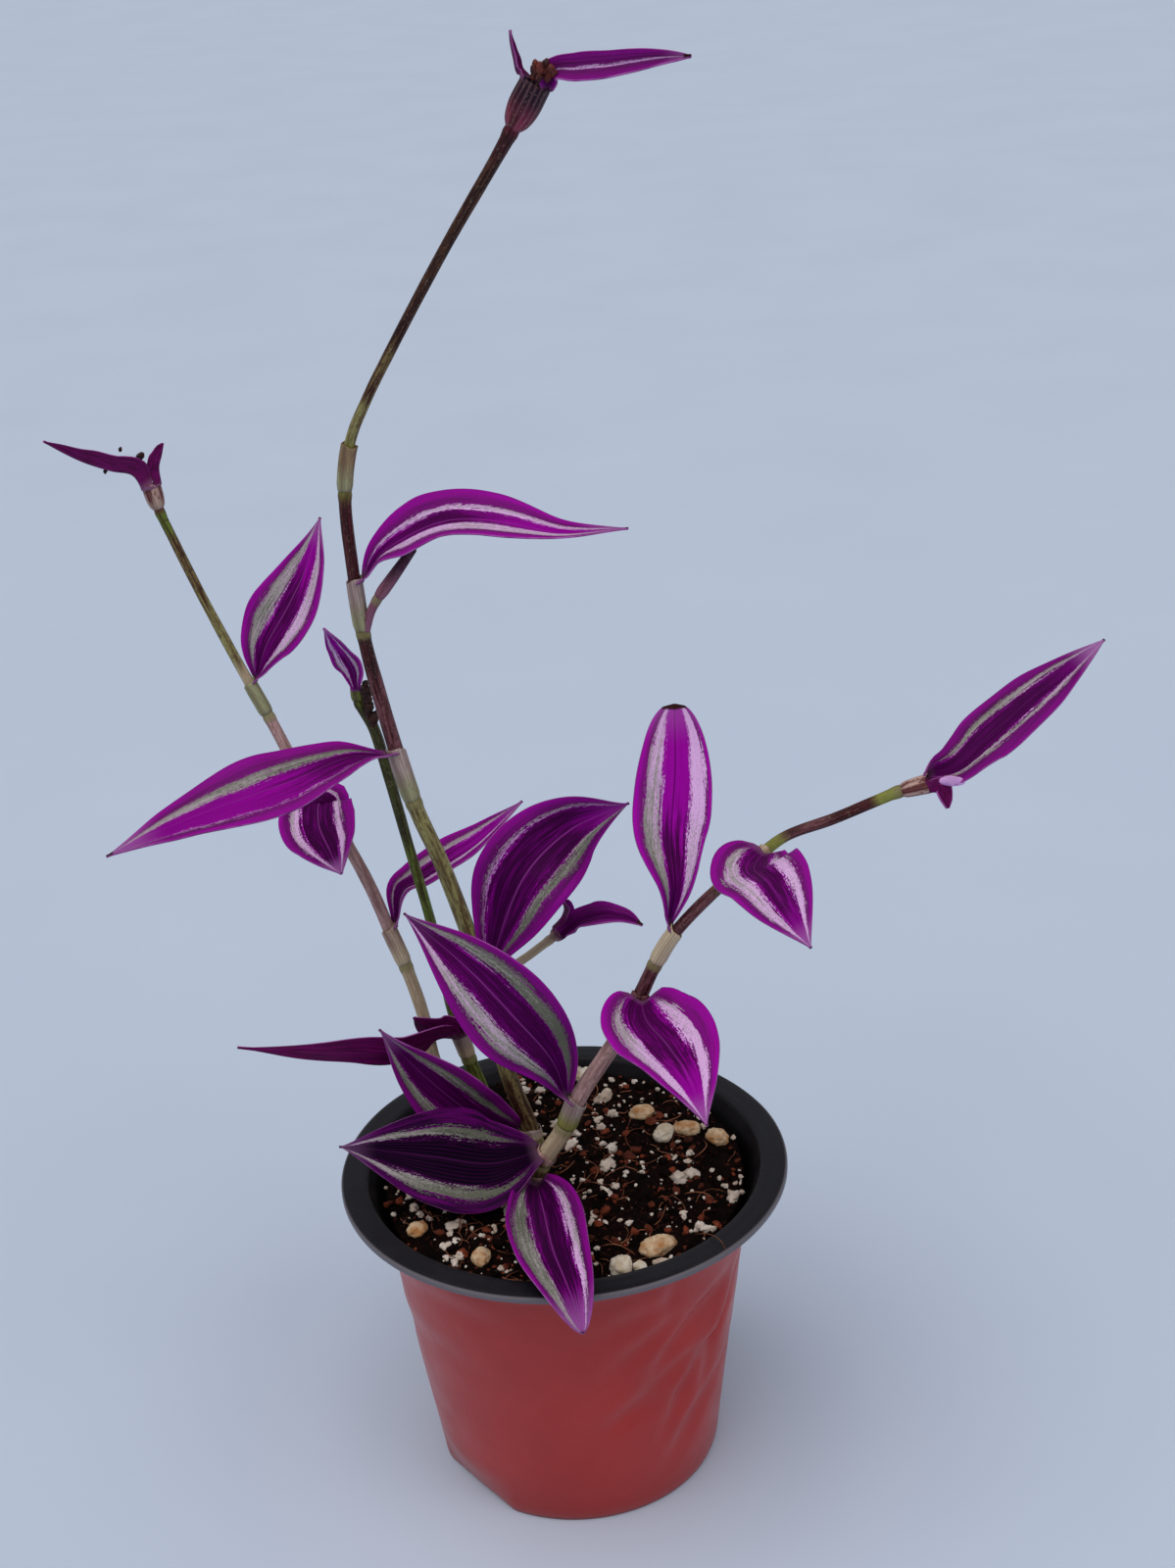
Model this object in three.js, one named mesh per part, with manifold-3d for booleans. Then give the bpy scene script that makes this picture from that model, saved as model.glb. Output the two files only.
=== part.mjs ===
// Potted tradescantia: four leafy stems in potting mix, in a thin two-tone nursery pot.
// Millimetres, +Z up, origin at the centre of the pot's underside.
import * as THREE from 'three';
import { mergeVertices } from 'three/addons/utils/BufferGeometryUtils.js';
import Module from 'manifold-3d';

const wasm = await Module();
wasm.setup();

// ---------- driving dimensions ----------

const gap = 0.3; // clearance between touching pieces

const pot = {
  rimRadius: 60,
  height: 90,
  wall: 1,
  baseRadius: 38.5,
  floorRadius: 32,
  heel: 1.5, // bevel at the foot of the wall
  fillet: 1, // the same corner inside
  bodyTopRadius: 49.5, // where the straight wall meets the flared collar
  bodyTopHeight: 81,
  collarRadius: 52.4, // outer face of the collar, just under the rim
  collarHeight: 86.5,
  mouthRadius: 52.8, // inner edge of the flat rim
  lipDrop: 1.8, // the rim's outer edge is turned down
  bevel: 0.6, // rounding of the rim's edges
  sides: 44,
  cornerHeight: 12, // the bottom corner is cut back by flats up to here
  flatAzimuths: [218, 38], // degrees
  flatReach: 22, // degrees either side of a flat's middle
  drainRadius: 3,
  drainCircle: 24,
  drains: 6,
};

const soil = {
  level: 85,
  dome: 1.6, // the middle stands higher than the edge
  slope: 0.045, // the back stands higher than the front
  lumps: 0.5,
  rings: [0.2, 0.42, 0.62, 0.8, 0.93],
  grains: 34,
  grainRadius: [0.8, 1.9],
};

const blade = {
  thickness: 0.7,
  stationStep: 6,
  columns: [-1, -0.5, 0, 0.5, 1],
  neck: 0.22, // width at the base, as a share of the full width
  leastHalf: 0.45, // half width left at the very tip
  baseFold: 22, // degrees that each half folds up more at the base
  unfoldBy: 0.25, // share of the length over which that fold opens
};

const sleeve = { wall: 0.65, shares: [0, 0.15, 0.6, 1], bulge: 0.25, flare: 0.3, bladeDrop: 1 };
const stemSides = 8;

// Stems: points from below the soil to the tip, with the radius at each point.
// A joint is the index of a point where a leaf's sheath starts and the stem swells.
const stems = {
  tall: {
    points: [
      [-6, 11, 62], [-8, 12, 89], [-14, 13, 111], [-17.7, 14, 136], [-21, 15, 151], [-27.2, 16, 174],
      [-32.5, 17.3, 189.5], [-40.3, 21, 225], [-41.9, 22, 235.2], [-43, 22, 253], [-43.1, 22, 272.5],
      [-40.5, 22, 285.5], [-35.5, 20, 296], [-27.3, 18, 310], [-13, 14, 333], [-0.4, 10, 352],
      [3.5, 9.5, 358], [8.3, 8, 366],
    ],
    radii: [2.4, 2.4, 2.3, 2.3, 2.2, 2.1, 2.2, 2, 1.8, 1.6, 1.6, 1.35, 1.3, 1.3, 1.32, 1.5, 1.75, 1.3],
    joints: [1, 3, 6, 8, 10, 16],
  },
  back: {
    points: [
      [-20, 36, 64], [-22, 37, 87], [-25.8, 38, 101], [-28.8, 38, 115], [-32.8, 37, 145], [-37, 36, 170],
      [-40.4, 35, 191], [-43, 34.3, 205], [-45.8, 34, 212.5], [-46.4, 34, 218],
    ],
    radii: [2.1, 2.1, 2, 1.7, 1.4, 1.4, 1.5, 1.5, 1.6, 1.1],
    joints: [2, 8],
  },
  front: {
    points: [
      [-9, -4, 62], [-8, -5, 87], [-6, -6, 93.5], [1, -7, 105], [5.3, -8, 115], [15.8, -9, 132],
      [21, -10, 142], [26.7, -11, 154.7], [31.5, -12, 163.3], [43, -12, 175.5], [52.4, -13, 183.6],
      [60, -13, 189.4], [72, -13, 193.5], [84, -14, 198.8], [90, -15, 201.8], [95, -16, 202.8],
    ],
    radii: [2.6, 2.6, 2.5, 2.4, 2.25, 2.1, 2, 1.8, 1.6, 1.5, 1.5, 1.35, 1.4, 1.4, 1.5, 1.2],
    joints: [1, 2, 3, 6, 7, 10, 14],
  },
  left: {
    points: [
      [-29, 26, 62], [-31, 28, 86], [-35.3, 31, 107], [-37, 33, 118.5], [-40.8, 36, 132.6],
      [-44.2, 38, 142], [-48.8, 41, 155], [-54.8, 44, 168], [-61, 46, 178], [-67, 48, 191],
      [-72.5, 51, 203.2], [-78.9, 53.5, 217], [-87, 56.5, 236], [-93.6, 59, 253], [-95.9, 60, 259.2],
      [-97.2, 60, 266],
    ],
    radii: [2, 2, 1.85, 1.75, 1.8, 1.75, 1.7, 1.7, 1.65, 1.6, 1.55, 1.35, 1.25, 1.25, 1.3, 1.1],
    joints: [4, 7, 10, 14],
  },
};

// Side shoots grow out of the tall stem and are one piece with it.
const shoots = {
  low: {
    points: [[-17.5, 14, 135.5], [-12.4, 17, 139.5], [-6, 19, 143], [0, 20, 147], [4, 20, 150]],
    radii: [1.3, 1.2, 1.15, 1.2, 1],
    joints: [3],
  },
  high: {
    points: [[-41.9, 22, 235.5], [-39.6, 21, 241.5], [-37.4, 20, 245.5], [-33.4, 19.2, 250.8], [-28.6, 18.6, 257]],
    radii: [1.4, 1.15, 1.15, 1.1, 0.9],
    joints: [2],
  },
};

// Leaves. On a stem, joint is where the sheath starts and sheath its length; rib holds the midrib's
// points from the blade's base to its tip. The outline is the full width, where it is widest along the
// leaf, and how bluntly it swells from the base (shoulder) and narrows to the tip (taper): small is blunt.
// Face is the way the upper side looks, cup the fold of each half and twist the turn gained by the tip,
// in degrees.
const leaves = {
  leaf_tall_1: {
    on: 'tall', joint: 1, sheath: 4.5, width: 20, widest: 0.4, shoulder: 0.7, taper: 1.25,
    face: [-0.35, -0.8, 0.45], cup: 13, twist: 0,
    rib: [[-22, 9, 99], [-32, 9, 109], [-40, 10, 118], [-47, 10, 128]],
  },
  leaf_tall_2: {
    on: 'tall', joint: 3, sheath: 7, width: 26, widest: 0.48, shoulder: 1.1, taper: 1.2,
    face: [-0.4, -0.9, 0.2], cup: 13, twist: 14,
    rib: [[-13, 13, 153], [-5, 14, 170], [7, 22, 178], [23, 32, 180]],
  },
  leaf_tall_3: {
    on: 'tall', joint: 6, sheath: 14.2, width: 21, widest: 0.45, shoulder: 1.7, taper: 1.1,
    face: [-0.35, -0.65, 0.65], cup: 10, twist: 18,
    rib: [[-47, 6, 209], [-63, -6, 208], [-85, -14, 204], [-105, -20, 198]],
  },
  leaf_tall_4: {
    on: 'tall', joint: 8, sheath: 13.8, width: 18, widest: 0.32, shoulder: 1.4, taper: 1.1,
    face: [-0.25, -0.6, 0.8], cup: 17, twist: -28,
    rib: [[-34.8, 19, 258], [-19, 12.5, 267], [-8, 7, 268.3], [9, 1, 266.2], [25.2, -4, 268]],
  },
  leaf_front_1: {
    on: 'front', joint: 1, sheath: 3.4, width: 21, widest: 0.46, shoulder: 1.1, taper: 0.8,
    face: [-0.1, -0.3, 0.95], cup: 18, twist: 0,
    rib: [[-5.5, -26, 92.5], [-3, -46, 94], [1, -62, 92.5], [3.5, -72, 88.5]],
  },
  leaf_front_2: {
    on: 'front', joint: 2, sheath: 4, width: 28, widest: 0.38, shoulder: 0.75, taper: 1.2,
    face: [0, -0.6, 0.8], cup: 8, twist: -18,
    rib: [[-19, -10, 97], [-33, -13, 102], [-48, -14, 106], [-58, -13, 107]],
  },
  leaf_front_3: {
    on: 'front', joint: 3, sheath: 10, width: 24, widest: 0.47, shoulder: 1.2, taper: 1.2,
    face: [0.1, -0.94, 0.3], cup: 13, twist: -8,
    rib: [[-1, -11, 128], [-10, -13, 143], [-21.4, -11, 157.4], [-36.3, -3, 169.1]],
  },
  leaf_front_4: {
    on: 'front', joint: 6, sheath: 4.5, width: 27, widest: 0.38, shoulder: 0.6, taper: 1.2,
    face: [0, -0.35, 0.95], cup: 16, twist: 0,
    rib: [[23.5, -22, 145], [29, -34, 143], [33, -46, 141], [36, -56, 135]],
  },
  leaf_front_5: {
    on: 'front', joint: 7, sheath: 9, width: 21, widest: 0.52, shoulder: 1.6, taper: 0.42,
    face: [0, -0.94, 0.33], cup: 22, twist: -10,
    rib: [[32.5, -11, 176], [32.4, -3, 187], [34.4, 6, 200], [35.4, 17, 214]],
  },
  leaf_front_6: {
    on: 'front', joint: 10, sheath: 4, width: 22.5, widest: 0.38, shoulder: 0.5, taper: 1.1,
    face: [-0.1, -0.4, 0.9], cup: 9, twist: 0,
    rib: [[51.3, -24, 186.6], [54.2, -35, 187.6], [58.2, -42, 182.6], [62.2, -49, 177.6]],
  },
  leaf_left_1: {
    on: 'left', joint: 4, sheath: 12, width: 14, widest: 0.4, shoulder: 1.6, taper: 1.1,
    face: [-0.55, -0.5, 0.7], cup: 20, twist: 0,
    rib: [[-40.5, 42, 153], [-36, 45.5, 154.2], [-27.5, 51, 157.2], [-18, 56, 161.5], [-6.3, 61, 169.3]],
  },
  leaf_left_2: {
    on: 'left', joint: 7, sheath: 8, width: 21, widest: 0.45, shoulder: 0.6, taper: 1,
    face: [-0.05, -0.6, 0.8], cup: 12, twist: 0,
    rib: [[-60, 39, 182], [-60, 33, 179], [-57, 24, 176], [-53, 14, 173]],
  },
  leaf_left_3: {
    on: 'left', joint: 10, sheath: 10.5, width: 19.5, widest: 0.38, shoulder: 1.2, taper: 1.15,
    face: [-0.3, -0.88, 0.4], cup: 16, twist: 0,
    rib: [[-71.5, 54, 222], [-64, 58, 233], [-59, 62, 242], [-55, 67, 253]],
  },
  leaf_back_2: {
    on: 'back', joint: 8, sheath: 4.4, width: 8.6, widest: 0.42, shoulder: 1.3, taper: 1.05,
    face: [-0.5, -0.85, 0.1], cup: 12, twist: 0,
    rib: [[-46.6, 32, 222], [-48.4, 31, 227], [-50.3, 29, 231.5], [-52.4, 27, 235.9]],
  },
};

// Leaves that share one sheath: a pair of bracts at a shoot's end, or a torn leaf with a loose flap.
const leafPairs = {
  bracts_tall: {
    on: 'tall', joint: 16, sheath: 10.5, flare: 3,
    blades: [
      {
        width: 9, widest: 0.3, shoulder: 0.5, taper: 0.9, face: [0.05, -0.86, 0.5], cup: 30, twist: 0,
        rib: [[17, 4.9, 371], [24.8, 2.2, 372], [31, 0.3, 372.6], [36.5, -1.8, 373.3], [43.6, -4.4, 373.7]],
      },
      {
        width: 7, widest: 0.25, shoulder: 0.7, taper: 1.3, face: [1, -0.3, 0.1], cup: 44, twist: 0,
        rib: [[5.6, 10, 372.5], [4.8, 11, 379.6]],
      },
    ],
  },
  bracts_front: {
    on: 'front', joint: 14, sheath: 5.5, flare: 1.4,
    blades: [
      {
        width: 17, widest: 0.35, shoulder: 0.7, taper: 1.05, face: [-0.7, -0.55, 0.4], cup: 4, twist: 0,
        rib: [[104, -15, 209], [115, -10, 218], [127, -5, 225], [140, 0, 231]],
      },
      {
        width: 6, widest: 0.4, shoulder: 0.7, taper: 1.1, face: [0.2, -0.6, 0.6], cup: 34, twist: 0,
        rib: [[97.4, -19, 202], [98.6, -21.5, 198.4]],
      },
    ],
  },
  bracts_left: {
    on: 'left', joint: 14, sheath: 7.5, flare: 1.4,
    blades: [
      {
        width: 9.5, widest: 0.25, shoulder: 0.5, taper: 1, face: [0, 0.35, 0.95], cup: 50, twist: 0,
        rib: [[-101, 57, 270.5], [-106, 55, 272.6], [-112.5, 51.5, 276.6], [-120, 46, 283.6]],
      },
      {
        width: 6, widest: 0.4, shoulder: 0.6, taper: 0.7, face: [-1, 0.2, 0], cup: 50, twist: 0,
        rib: [[-95, 61, 271], [-93.2, 62, 277]],
      },
    ],
  },
  bracts_low_shoot: {
    on: 'low', joint: 3, sheath: 3.2, flare: 1.2,
    blades: [
      {
        width: 9.5, widest: 0.4, shoulder: 0.6, taper: 0.95, face: [-0.1, -0.3, 0.95], cup: 22, twist: 0,
        rib: [[7.7, 18, 152.3], [15.5, 14, 156], [20.6, 12, 156.2], [24.5, 10, 155]],
      },
      {
        width: 6, widest: 0.45, shoulder: 0.6, taper: 0.8, face: [0.9, -0.3, 0.1], cup: 45, twist: 0,
        rib: [[3.8, 22, 153], [3.8, 23.5, 157]],
      },
    ],
  },
  leaf_back_1: {
    on: 'back', joint: 2, sheath: 9, flare: 0.6,
    blades: [
      {
        width: 11, widest: 0.35, shoulder: 1.2, taper: 1.5, face: [-0.2, 0.8, 0.55], cup: 7, twist: 30,
        rib: [[-32.5, 24, 115], [-43, 18, 114.2], [-54, 14.5, 118.2], [-67, 12, 120.4], [-85, 9, 125.2]],
      },
      {
        width: 9.5, widest: 0.45, shoulder: 0.8, taper: 0.6, face: [0.1, 0.9, 0.3], cup: 8, twist: 0,
        rib: [[-31, 27, 116.5], [-40.8, 23, 121.5]],
      },
    ],
  },
};

// Sheaths that have lost their blade, or whose blade is still rolled inside.
const bareSheaths = {
  sheath_tall: { on: 'tall', joint: 10, length: 12.5, flare: 0.35 },
  sheath_high_shoot: { on: 'high', joint: 2, length: 10.5, flare: 0.3 },
};

// Small clusters: flower buds between two bracts, and the dry remains of a spent flower head.
const clusters = {
  buds_tall: { centre: [12, 1.9, 372.6], radius: 1.4, count: 6, spread: 1.5, seed: 5 },
  buds_left: { centre: [-98.2, 58, 274.6], radius: 1, count: 4, spread: 0.9, seed: 9 },
  spent_flower: { centre: [-43, 29, 214], radius: 1.5, count: 5, spread: 1.3, stretch: 2.8, seed: 3 },
};

const petal = { centre: [99.3, -22.1, 206], size: [3.1, 0.6, 1.4], turn: 0.15, tilt: 0.3 };

// Stones lying in the soil: [x, y, radius, flatness, turn in degrees].
const stones = [
  [23.5, -33, 4.6, 0.62, 20], [13.5, -40, 3.5, 0.7, 75], [18.5, -41, 2, 0.7, 110], [34, 17, 3.4, 0.7, 0],
  [27.5, 14, 3.1, 0.8, 50], [42, 12, 3.3, 0.7, 130], [22, 25, 3.2, 0.6, 10], [-39, -21, 2.9, 0.7, 60],
  [7, 44, 3, 0.9, 30], [-22, -34, 3.1, 0.7, 100],
];

const colours = {
  pot: { color: 0xa83a34, roughness: 0.45 },
  soil: { color: 0x2a1714, roughness: 1 },
  stone: { color: 0xd9b592, roughness: 0.9 },
  stem: { color: 0x8a8560, roughness: 0.55 },
  leaf: { color: 0x7d1280, roughness: 0.4 },
  sheath: { color: 0xb4a48c, roughness: 0.55 },
  buds: { color: 0x6e2f1e, roughness: 0.9 },
  petal: { color: 0xd98ae0, roughness: 0.5 },
};

// ---------- small helpers ----------

const vec = ([x, y, z]) => new THREE.Vector3(x, y, z);
const mix = THREE.MathUtils.lerp;
const radians = THREE.MathUtils.degToRad;

function randomSource(seed) {
  let state = seed;
  return () => {
    state = (state * 16807) % 2147483647;
    return (state - 1) / 2147483646;
  };
}

function toSolid(geometry) {
  const plain = geometry.clone();
  plain.deleteAttribute('normal');
  plain.deleteAttribute('uv');
  const merged = mergeVertices(plain, 1e-4);
  return new wasm.Manifold(new wasm.Mesh({
    numProp: 3,
    vertProperties: merged.attributes.position.array,
    triVerts: new Uint32Array(merged.index.array),
  }));
}

function toGeometry(solid) {
  const mesh = solid.getMesh();
  const geometry = new THREE.BufferGeometry();
  geometry.setAttribute('position', new THREE.BufferAttribute(mesh.vertProperties, 3));
  geometry.setIndex(new THREE.BufferAttribute(mesh.triVerts, 1));
  geometry.computeVertexNormals();
  return geometry;
}

// The largest body of a solid: cutting can leave loose scraps.
function mainBody(solid) {
  return solid.decompose().reduce((a, b) => (a.volume() > b.volume() ? a : b));
}

// Skins a row of rings that have equal counts, and closes both ends on their centres.
function loft(rings) {
  const count = rings[0].length;
  const middle = (ring) => ring.reduce((sum, p) => sum.add(p), new THREE.Vector3()).divideScalar(count);
  const points = [...rings.flat(), middle(rings[0]), middle(rings[rings.length - 1])];
  const index = [];
  const first = rings.length * count;
  for (let i = 0; i < count; i++) {
    const next = (i + 1) % count;
    for (let r = 0; r < rings.length - 1; r++) {
      const low = r * count;
      const high = low + count;
      index.push(low + i, low + next, high + next, low + i, high + next, high + i);
    }
    index.push(first, next, i);
    index.push(first + 1, first - count + i, first - count + next);
  }
  const geometry = new THREE.BufferGeometry().setFromPoints(points);
  geometry.setIndex(index);
  return geometry;
}

// ---------- stems ----------

const samplesPerPoint = 24;

// A stem's curve as closely spaced samples, each with its distance, direction, side and radius.
function traceStem({ points, radii, joints }) {
  const curve = new THREE.CatmullRomCurve3(points.map(vec), false, 'centripetal');
  const last = (points.length - 1) * samplesPerPoint;
  const samples = [];
  let side = new THREE.Vector3(0, -1, 0);
  let distance = 0;
  for (let i = 0; i <= last; i++) {
    const point = curve.getPoint(i / last);
    const along = curve.getTangent(i / last);
    side = side.clone().addScaledVector(along, -side.dot(along)).normalize();
    if (i > 0) distance += point.distanceTo(samples[i - 1].point);
    const k = Math.min(Math.floor(i / samplesPerPoint), points.length - 2);
    const radius = mix(radii[k], radii[k + 1], i / samplesPerPoint - k);
    samples.push({ point, along, side, radius, distance });
  }
  const atPoint = (k) => samples[k * samplesPerPoint].distance;
  return { samples, length: distance, atPoint, swellings: joints.map(atPoint) };
}

// The sample at a distance along a stem, going straight on past the stem's end.
function sampleAt(trace, distance) {
  const found = trace.samples.find((s) => s.distance >= distance);
  if (found) return found;
  const last = trace.samples[trace.samples.length - 1];
  return { ...last, point: last.point.clone().addScaledVector(last.along, distance - last.distance) };
}

// A round tube round a stem's curve, through the given [distance, radius] stations.
function tubeAlong(trace, stations) {
  const rings = stations.map(([distance, radius]) => {
    const { point, along, side } = sampleAt(trace, distance);
    const across = new THREE.Vector3().crossVectors(along, side);
    return Array.from({ length: stemSides }, (_, i) => {
      const angle = (2 * Math.PI * i) / stemSides;
      return point.clone()
        .addScaledVector(side, radius * Math.cos(angle))
        .addScaledVector(across, radius * Math.sin(angle));
    });
  });
  return toSolid(loft(rings));
}

const swell = { height: 1.15, below: 2.2, above: 0.8, step: 11 };

// The stem itself, or with grow its clearance shape; it swells just below each sheath.
function stemSolid(trace, grow = 0) {
  const radiusAt = (d) => sampleAt(trace, d).radius + grow;
  const near = (d) => trace.swellings.some((s) => Math.abs(d - s) < swell.step / 2);
  const stations = [[0, radiusAt(0)], [trace.length + grow, radiusAt(trace.length)]];
  const steps = Math.round(trace.length / swell.step);
  for (let i = 1; i < steps; i++) {
    const d = (trace.length * i) / steps;
    if (!near(d)) stations.push([d, radiusAt(d)]);
  }
  for (const s of trace.swellings) {
    const full = sampleAt(trace, s).radius * swell.height + grow;
    stations.push([s - swell.below, radiusAt(s - swell.below)]);
    stations.push([s - swell.above, full], [s, full]);
    stations.push([s + swell.above, radiusAt(s + swell.above)]);
  }
  return tubeAlong(trace, stations.sort((a, b) => a[0] - b[0]));
}

const traces = Object.fromEntries(
  Object.entries({ ...stems, ...shoots }).map(([name, stem]) => [name, traceStem(stem)]),
);

function fusedStem(name, grow = 0) {
  const main = stemSolid(traces[name], grow);
  if (name !== 'tall') return main;
  return Object.keys(shoots).reduce((all, shoot) => all.add(stemSolid(traces[shoot], grow)), main);
}

const clearances = Object.fromEntries(Object.keys(stems).map((name) => [name, fusedStem(name, gap)]));
const stemOf = (name) => (name in shoots ? 'tall' : name);

// ---------- leaves ----------

// A leaf's half width, as a share of its largest, from base (0) to tip (1).
function leafOutline(t, { widest, shoulder, taper }) {
  if (t < widest) return blade.neck + (1 - blade.neck) * Math.sin((Math.PI / 2) * (t / widest)) ** shoulder;
  return Math.cos((Math.PI / 2) * ((t - widest) / (1 - widest))) ** taper;
}

// A blade of even thickness along its midrib; both faces are split into triangles alike.
function bladeSolid(leaf, base) {
  const { width, face, cup, twist, rib } = leaf;
  const curve = new THREE.CatmullRomCurve3([base, ...rib.map(vec)], false, 'centripetal');
  const { columns, stationStep } = blade;
  const stations = Math.max(4, Math.round(curve.getLength() / stationStep));
  const upper = [];
  const lower = [];
  for (let i = 0; i <= stations; i++) {
    const t = i / stations;
    const middle = curve.getPointAt(t);
    const along = curve.getTangentAt(t);
    const normal = vec(face).addScaledVector(along, -vec(face).dot(along)).normalize();
    normal.applyAxisAngle(along, radians(twist * t));
    const across = new THREE.Vector3().crossVectors(along, normal);
    const half = Math.max((width / 2) * leafOutline(t, leaf), blade.leastHalf);
    const fold = radians(mix(cup + blade.baseFold, cup, Math.min(t / blade.unfoldBy, 1)));
    for (const u of columns) {
      const point = middle.clone()
        .addScaledVector(across, u * half * Math.cos(fold))
        .addScaledVector(normal, Math.abs(u) * half * Math.sin(fold));
      const tilt = normal.clone().addScaledVector(across, -Math.sign(u) * Math.tan(fold)).normalize();
      upper.push(point.clone().addScaledVector(tilt, blade.thickness / 2));
      lower.push(point.addScaledVector(tilt, -blade.thickness / 2));
    }
  }
  const n = columns.length;
  const below = upper.length;
  const index = [];
  const quad = (a, b, c, d) => index.push(a, b, c, a, c, d);
  for (let i = 0; i < stations; i++) {
    for (let j = 0; j < n - 1; j++) {
      const a = i * n + j;
      quad(a, a + 1, a + n + 1, a + n);
      index.push(below + a, below + a + n + 1, below + a + 1);
      index.push(below + a, below + a + n, below + a + n + 1);
    }
    const left = i * n;
    const right = left + n - 1;
    quad(left, left + n, below + left + n, below + left);
    quad(right, below + right, below + right + n, right + n);
  }
  const end = stations * n;
  for (let j = 0; j < n - 1; j++) {
    quad(j + 1, j, below + j, below + j + 1);
    quad(end + j, end + j + 1, below + end + j + 1, below + end + j);
  }
  const geometry = new THREE.BufferGeometry().setFromPoints([...upper, ...lower]);
  geometry.setIndex(index);
  const solid = toSolid(geometry);
  return solid.volume() > 0 ? solid : flipped(geometry);
}

function flipped(geometry) {
  const index = geometry.index.array;
  for (let i = 0; i < index.length; i += 3) [index[i + 1], index[i + 2]] = [index[i + 2], index[i + 1]];
  return toSolid(geometry);
}

// The sleeve round the stem, from its joint up to the blade. The stem's clearance is cut out of it later.
function sheathSolid(trace, joint, length, flare = sleeve.flare) {
  const start = trace.atPoint(joint) + swell.above + gap;
  const stations = sleeve.shares.map((share) => {
    const d = start + (length - swell.above - gap) * share;
    const bulge = share > 0 && share < 1 ? sleeve.bulge : 0;
    return [d, sampleAt(trace, d).radius + gap + sleeve.wall + bulge + flare * share ** 2];
  });
  return tubeAlong(trace, stations);
}

// Where a blade leaves its sheath: on the sheath's upper edge, on the side its rib runs to.
function bladeBase(trace, joint, length, rib) {
  const { point, along, radius } = sampleAt(trace, trace.atPoint(joint) + length - sleeve.bladeDrop);
  const outward = vec(rib[0]).sub(point);
  outward.addScaledVector(along, -outward.dot(along)).normalize();
  return point.clone().addScaledVector(outward, radius + gap + sleeve.wall / 2);
}

function leafSolid({ on, joint, sheath, flare, blades }) {
  const trace = traces[on];
  let solid = sheathSolid(trace, joint, sheath, flare);
  for (const one of blades) solid = solid.add(bladeSolid(one, bladeBase(trace, joint, sheath, one.rib)));
  return mainBody(solid.subtract(clearances[stemOf(on)]));
}

// ---------- pot and soil ----------

// Cuts a lathe's bottom corner back to slanting flats, keeping the wall's thickness.
function cutCorners(geometry) {
  const p = geometry.attributes.position;
  const reach = radians(pot.flatReach);
  for (let i = 0; i < p.count; i++) {
    const radius = Math.hypot(p.getX(i), p.getY(i));
    const depth = 1 - p.getZ(i) / pot.cornerHeight;
    if (radius < pot.drainCircle || depth <= 0) continue;
    const angle = Math.atan2(p.getY(i), p.getX(i));
    for (const azimuth of pot.flatAzimuths) {
      const off = Math.abs(((angle - radians(azimuth) + 3 * Math.PI) % (2 * Math.PI)) - Math.PI);
      if (off >= reach) continue;
      const cut = depth * radius * (1 - Math.cos(reach) / Math.cos(off));
      p.setXY(i, p.getX(i) * (1 - cut / radius), p.getY(i) * (1 - cut / radius));
    }
  }
}

// A profile of [radius, height] turned about +Z, with the pot's flats; adjust may move its points further.
function turned(profile, adjust = () => {}) {
  const geometry = new THREE.LatheGeometry(profile.map(([r, z]) => new THREE.Vector2(r, z)), pot.sides);
  geometry.rotateX(Math.PI / 2);
  cutCorners(geometry);
  adjust(geometry.attributes.position);
  const solid = toSolid(geometry);
  return solid.volume() > 0 ? solid : flipped(geometry);
}

// Radius of the pot's outer face at a height below its collar.
function potRadius(z) {
  return mix(pot.baseRadius, pot.bodyTopRadius, z / pot.bodyTopHeight);
}

const bodyHeights = [4, 8, pot.cornerHeight, 45, pot.bodyTopHeight];

function potSolid() {
  const { wall, height, rimRadius, mouthRadius, collarRadius, collarHeight, lipDrop, bevel } = pot;
  const { floorRadius, heel, fillet } = pot;
  const outside = bodyHeights.map((z) => [potRadius(z), z]);
  const inside = bodyHeights.map((z) => [potRadius(z) - wall, z]).reverse();
  const profile = [
    [0, 0], [floorRadius, 0], [potRadius(0) - heel, 0], [potRadius(0), heel], ...outside,
    [collarRadius, collarHeight], [mouthRadius + bevel, height - wall - bevel],
    [rimRadius - wall - bevel, height - wall], [rimRadius - wall, height - lipDrop],
    [rimRadius, height - lipDrop], [rimRadius, height - bevel], [rimRadius - bevel, height],
    [mouthRadius, height],
    [collarRadius - wall, collarHeight], ...inside,
    [potRadius(0) - wall - fillet, wall + gap], [floorRadius, wall], [0, wall],
  ];
  let solid = turned(profile);
  for (let i = 0; i < pot.drains; i++) {
    const angle = (2 * Math.PI * i) / pot.drains;
    const drain = new THREE.CylinderGeometry(pot.drainRadius, pot.drainRadius, 6 * wall, 12);
    drain.rotateX(Math.PI / 2);
    drain.translate(pot.drainCircle * Math.cos(angle), pot.drainCircle * Math.sin(angle), 0);
    solid = solid.subtract(toSolid(drain));
  }
  return solid;
}

// Height of the soil's surface: a low dome with soft lumps.
function soilHeight(x, y) {
  const share = Math.hypot(x, y) / pot.mouthRadius;
  const lumps = Math.sin(x * 0.45 + 1) * Math.cos(y * 0.38) + 0.6 * Math.sin(x * 0.21 - y * 0.33 + 2);
  return soil.level + soil.dome * (1 - share ** 2) + soil.slope * y + soil.lumps * lumps;
}

const knobs = [0.78, 1.12];

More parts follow.
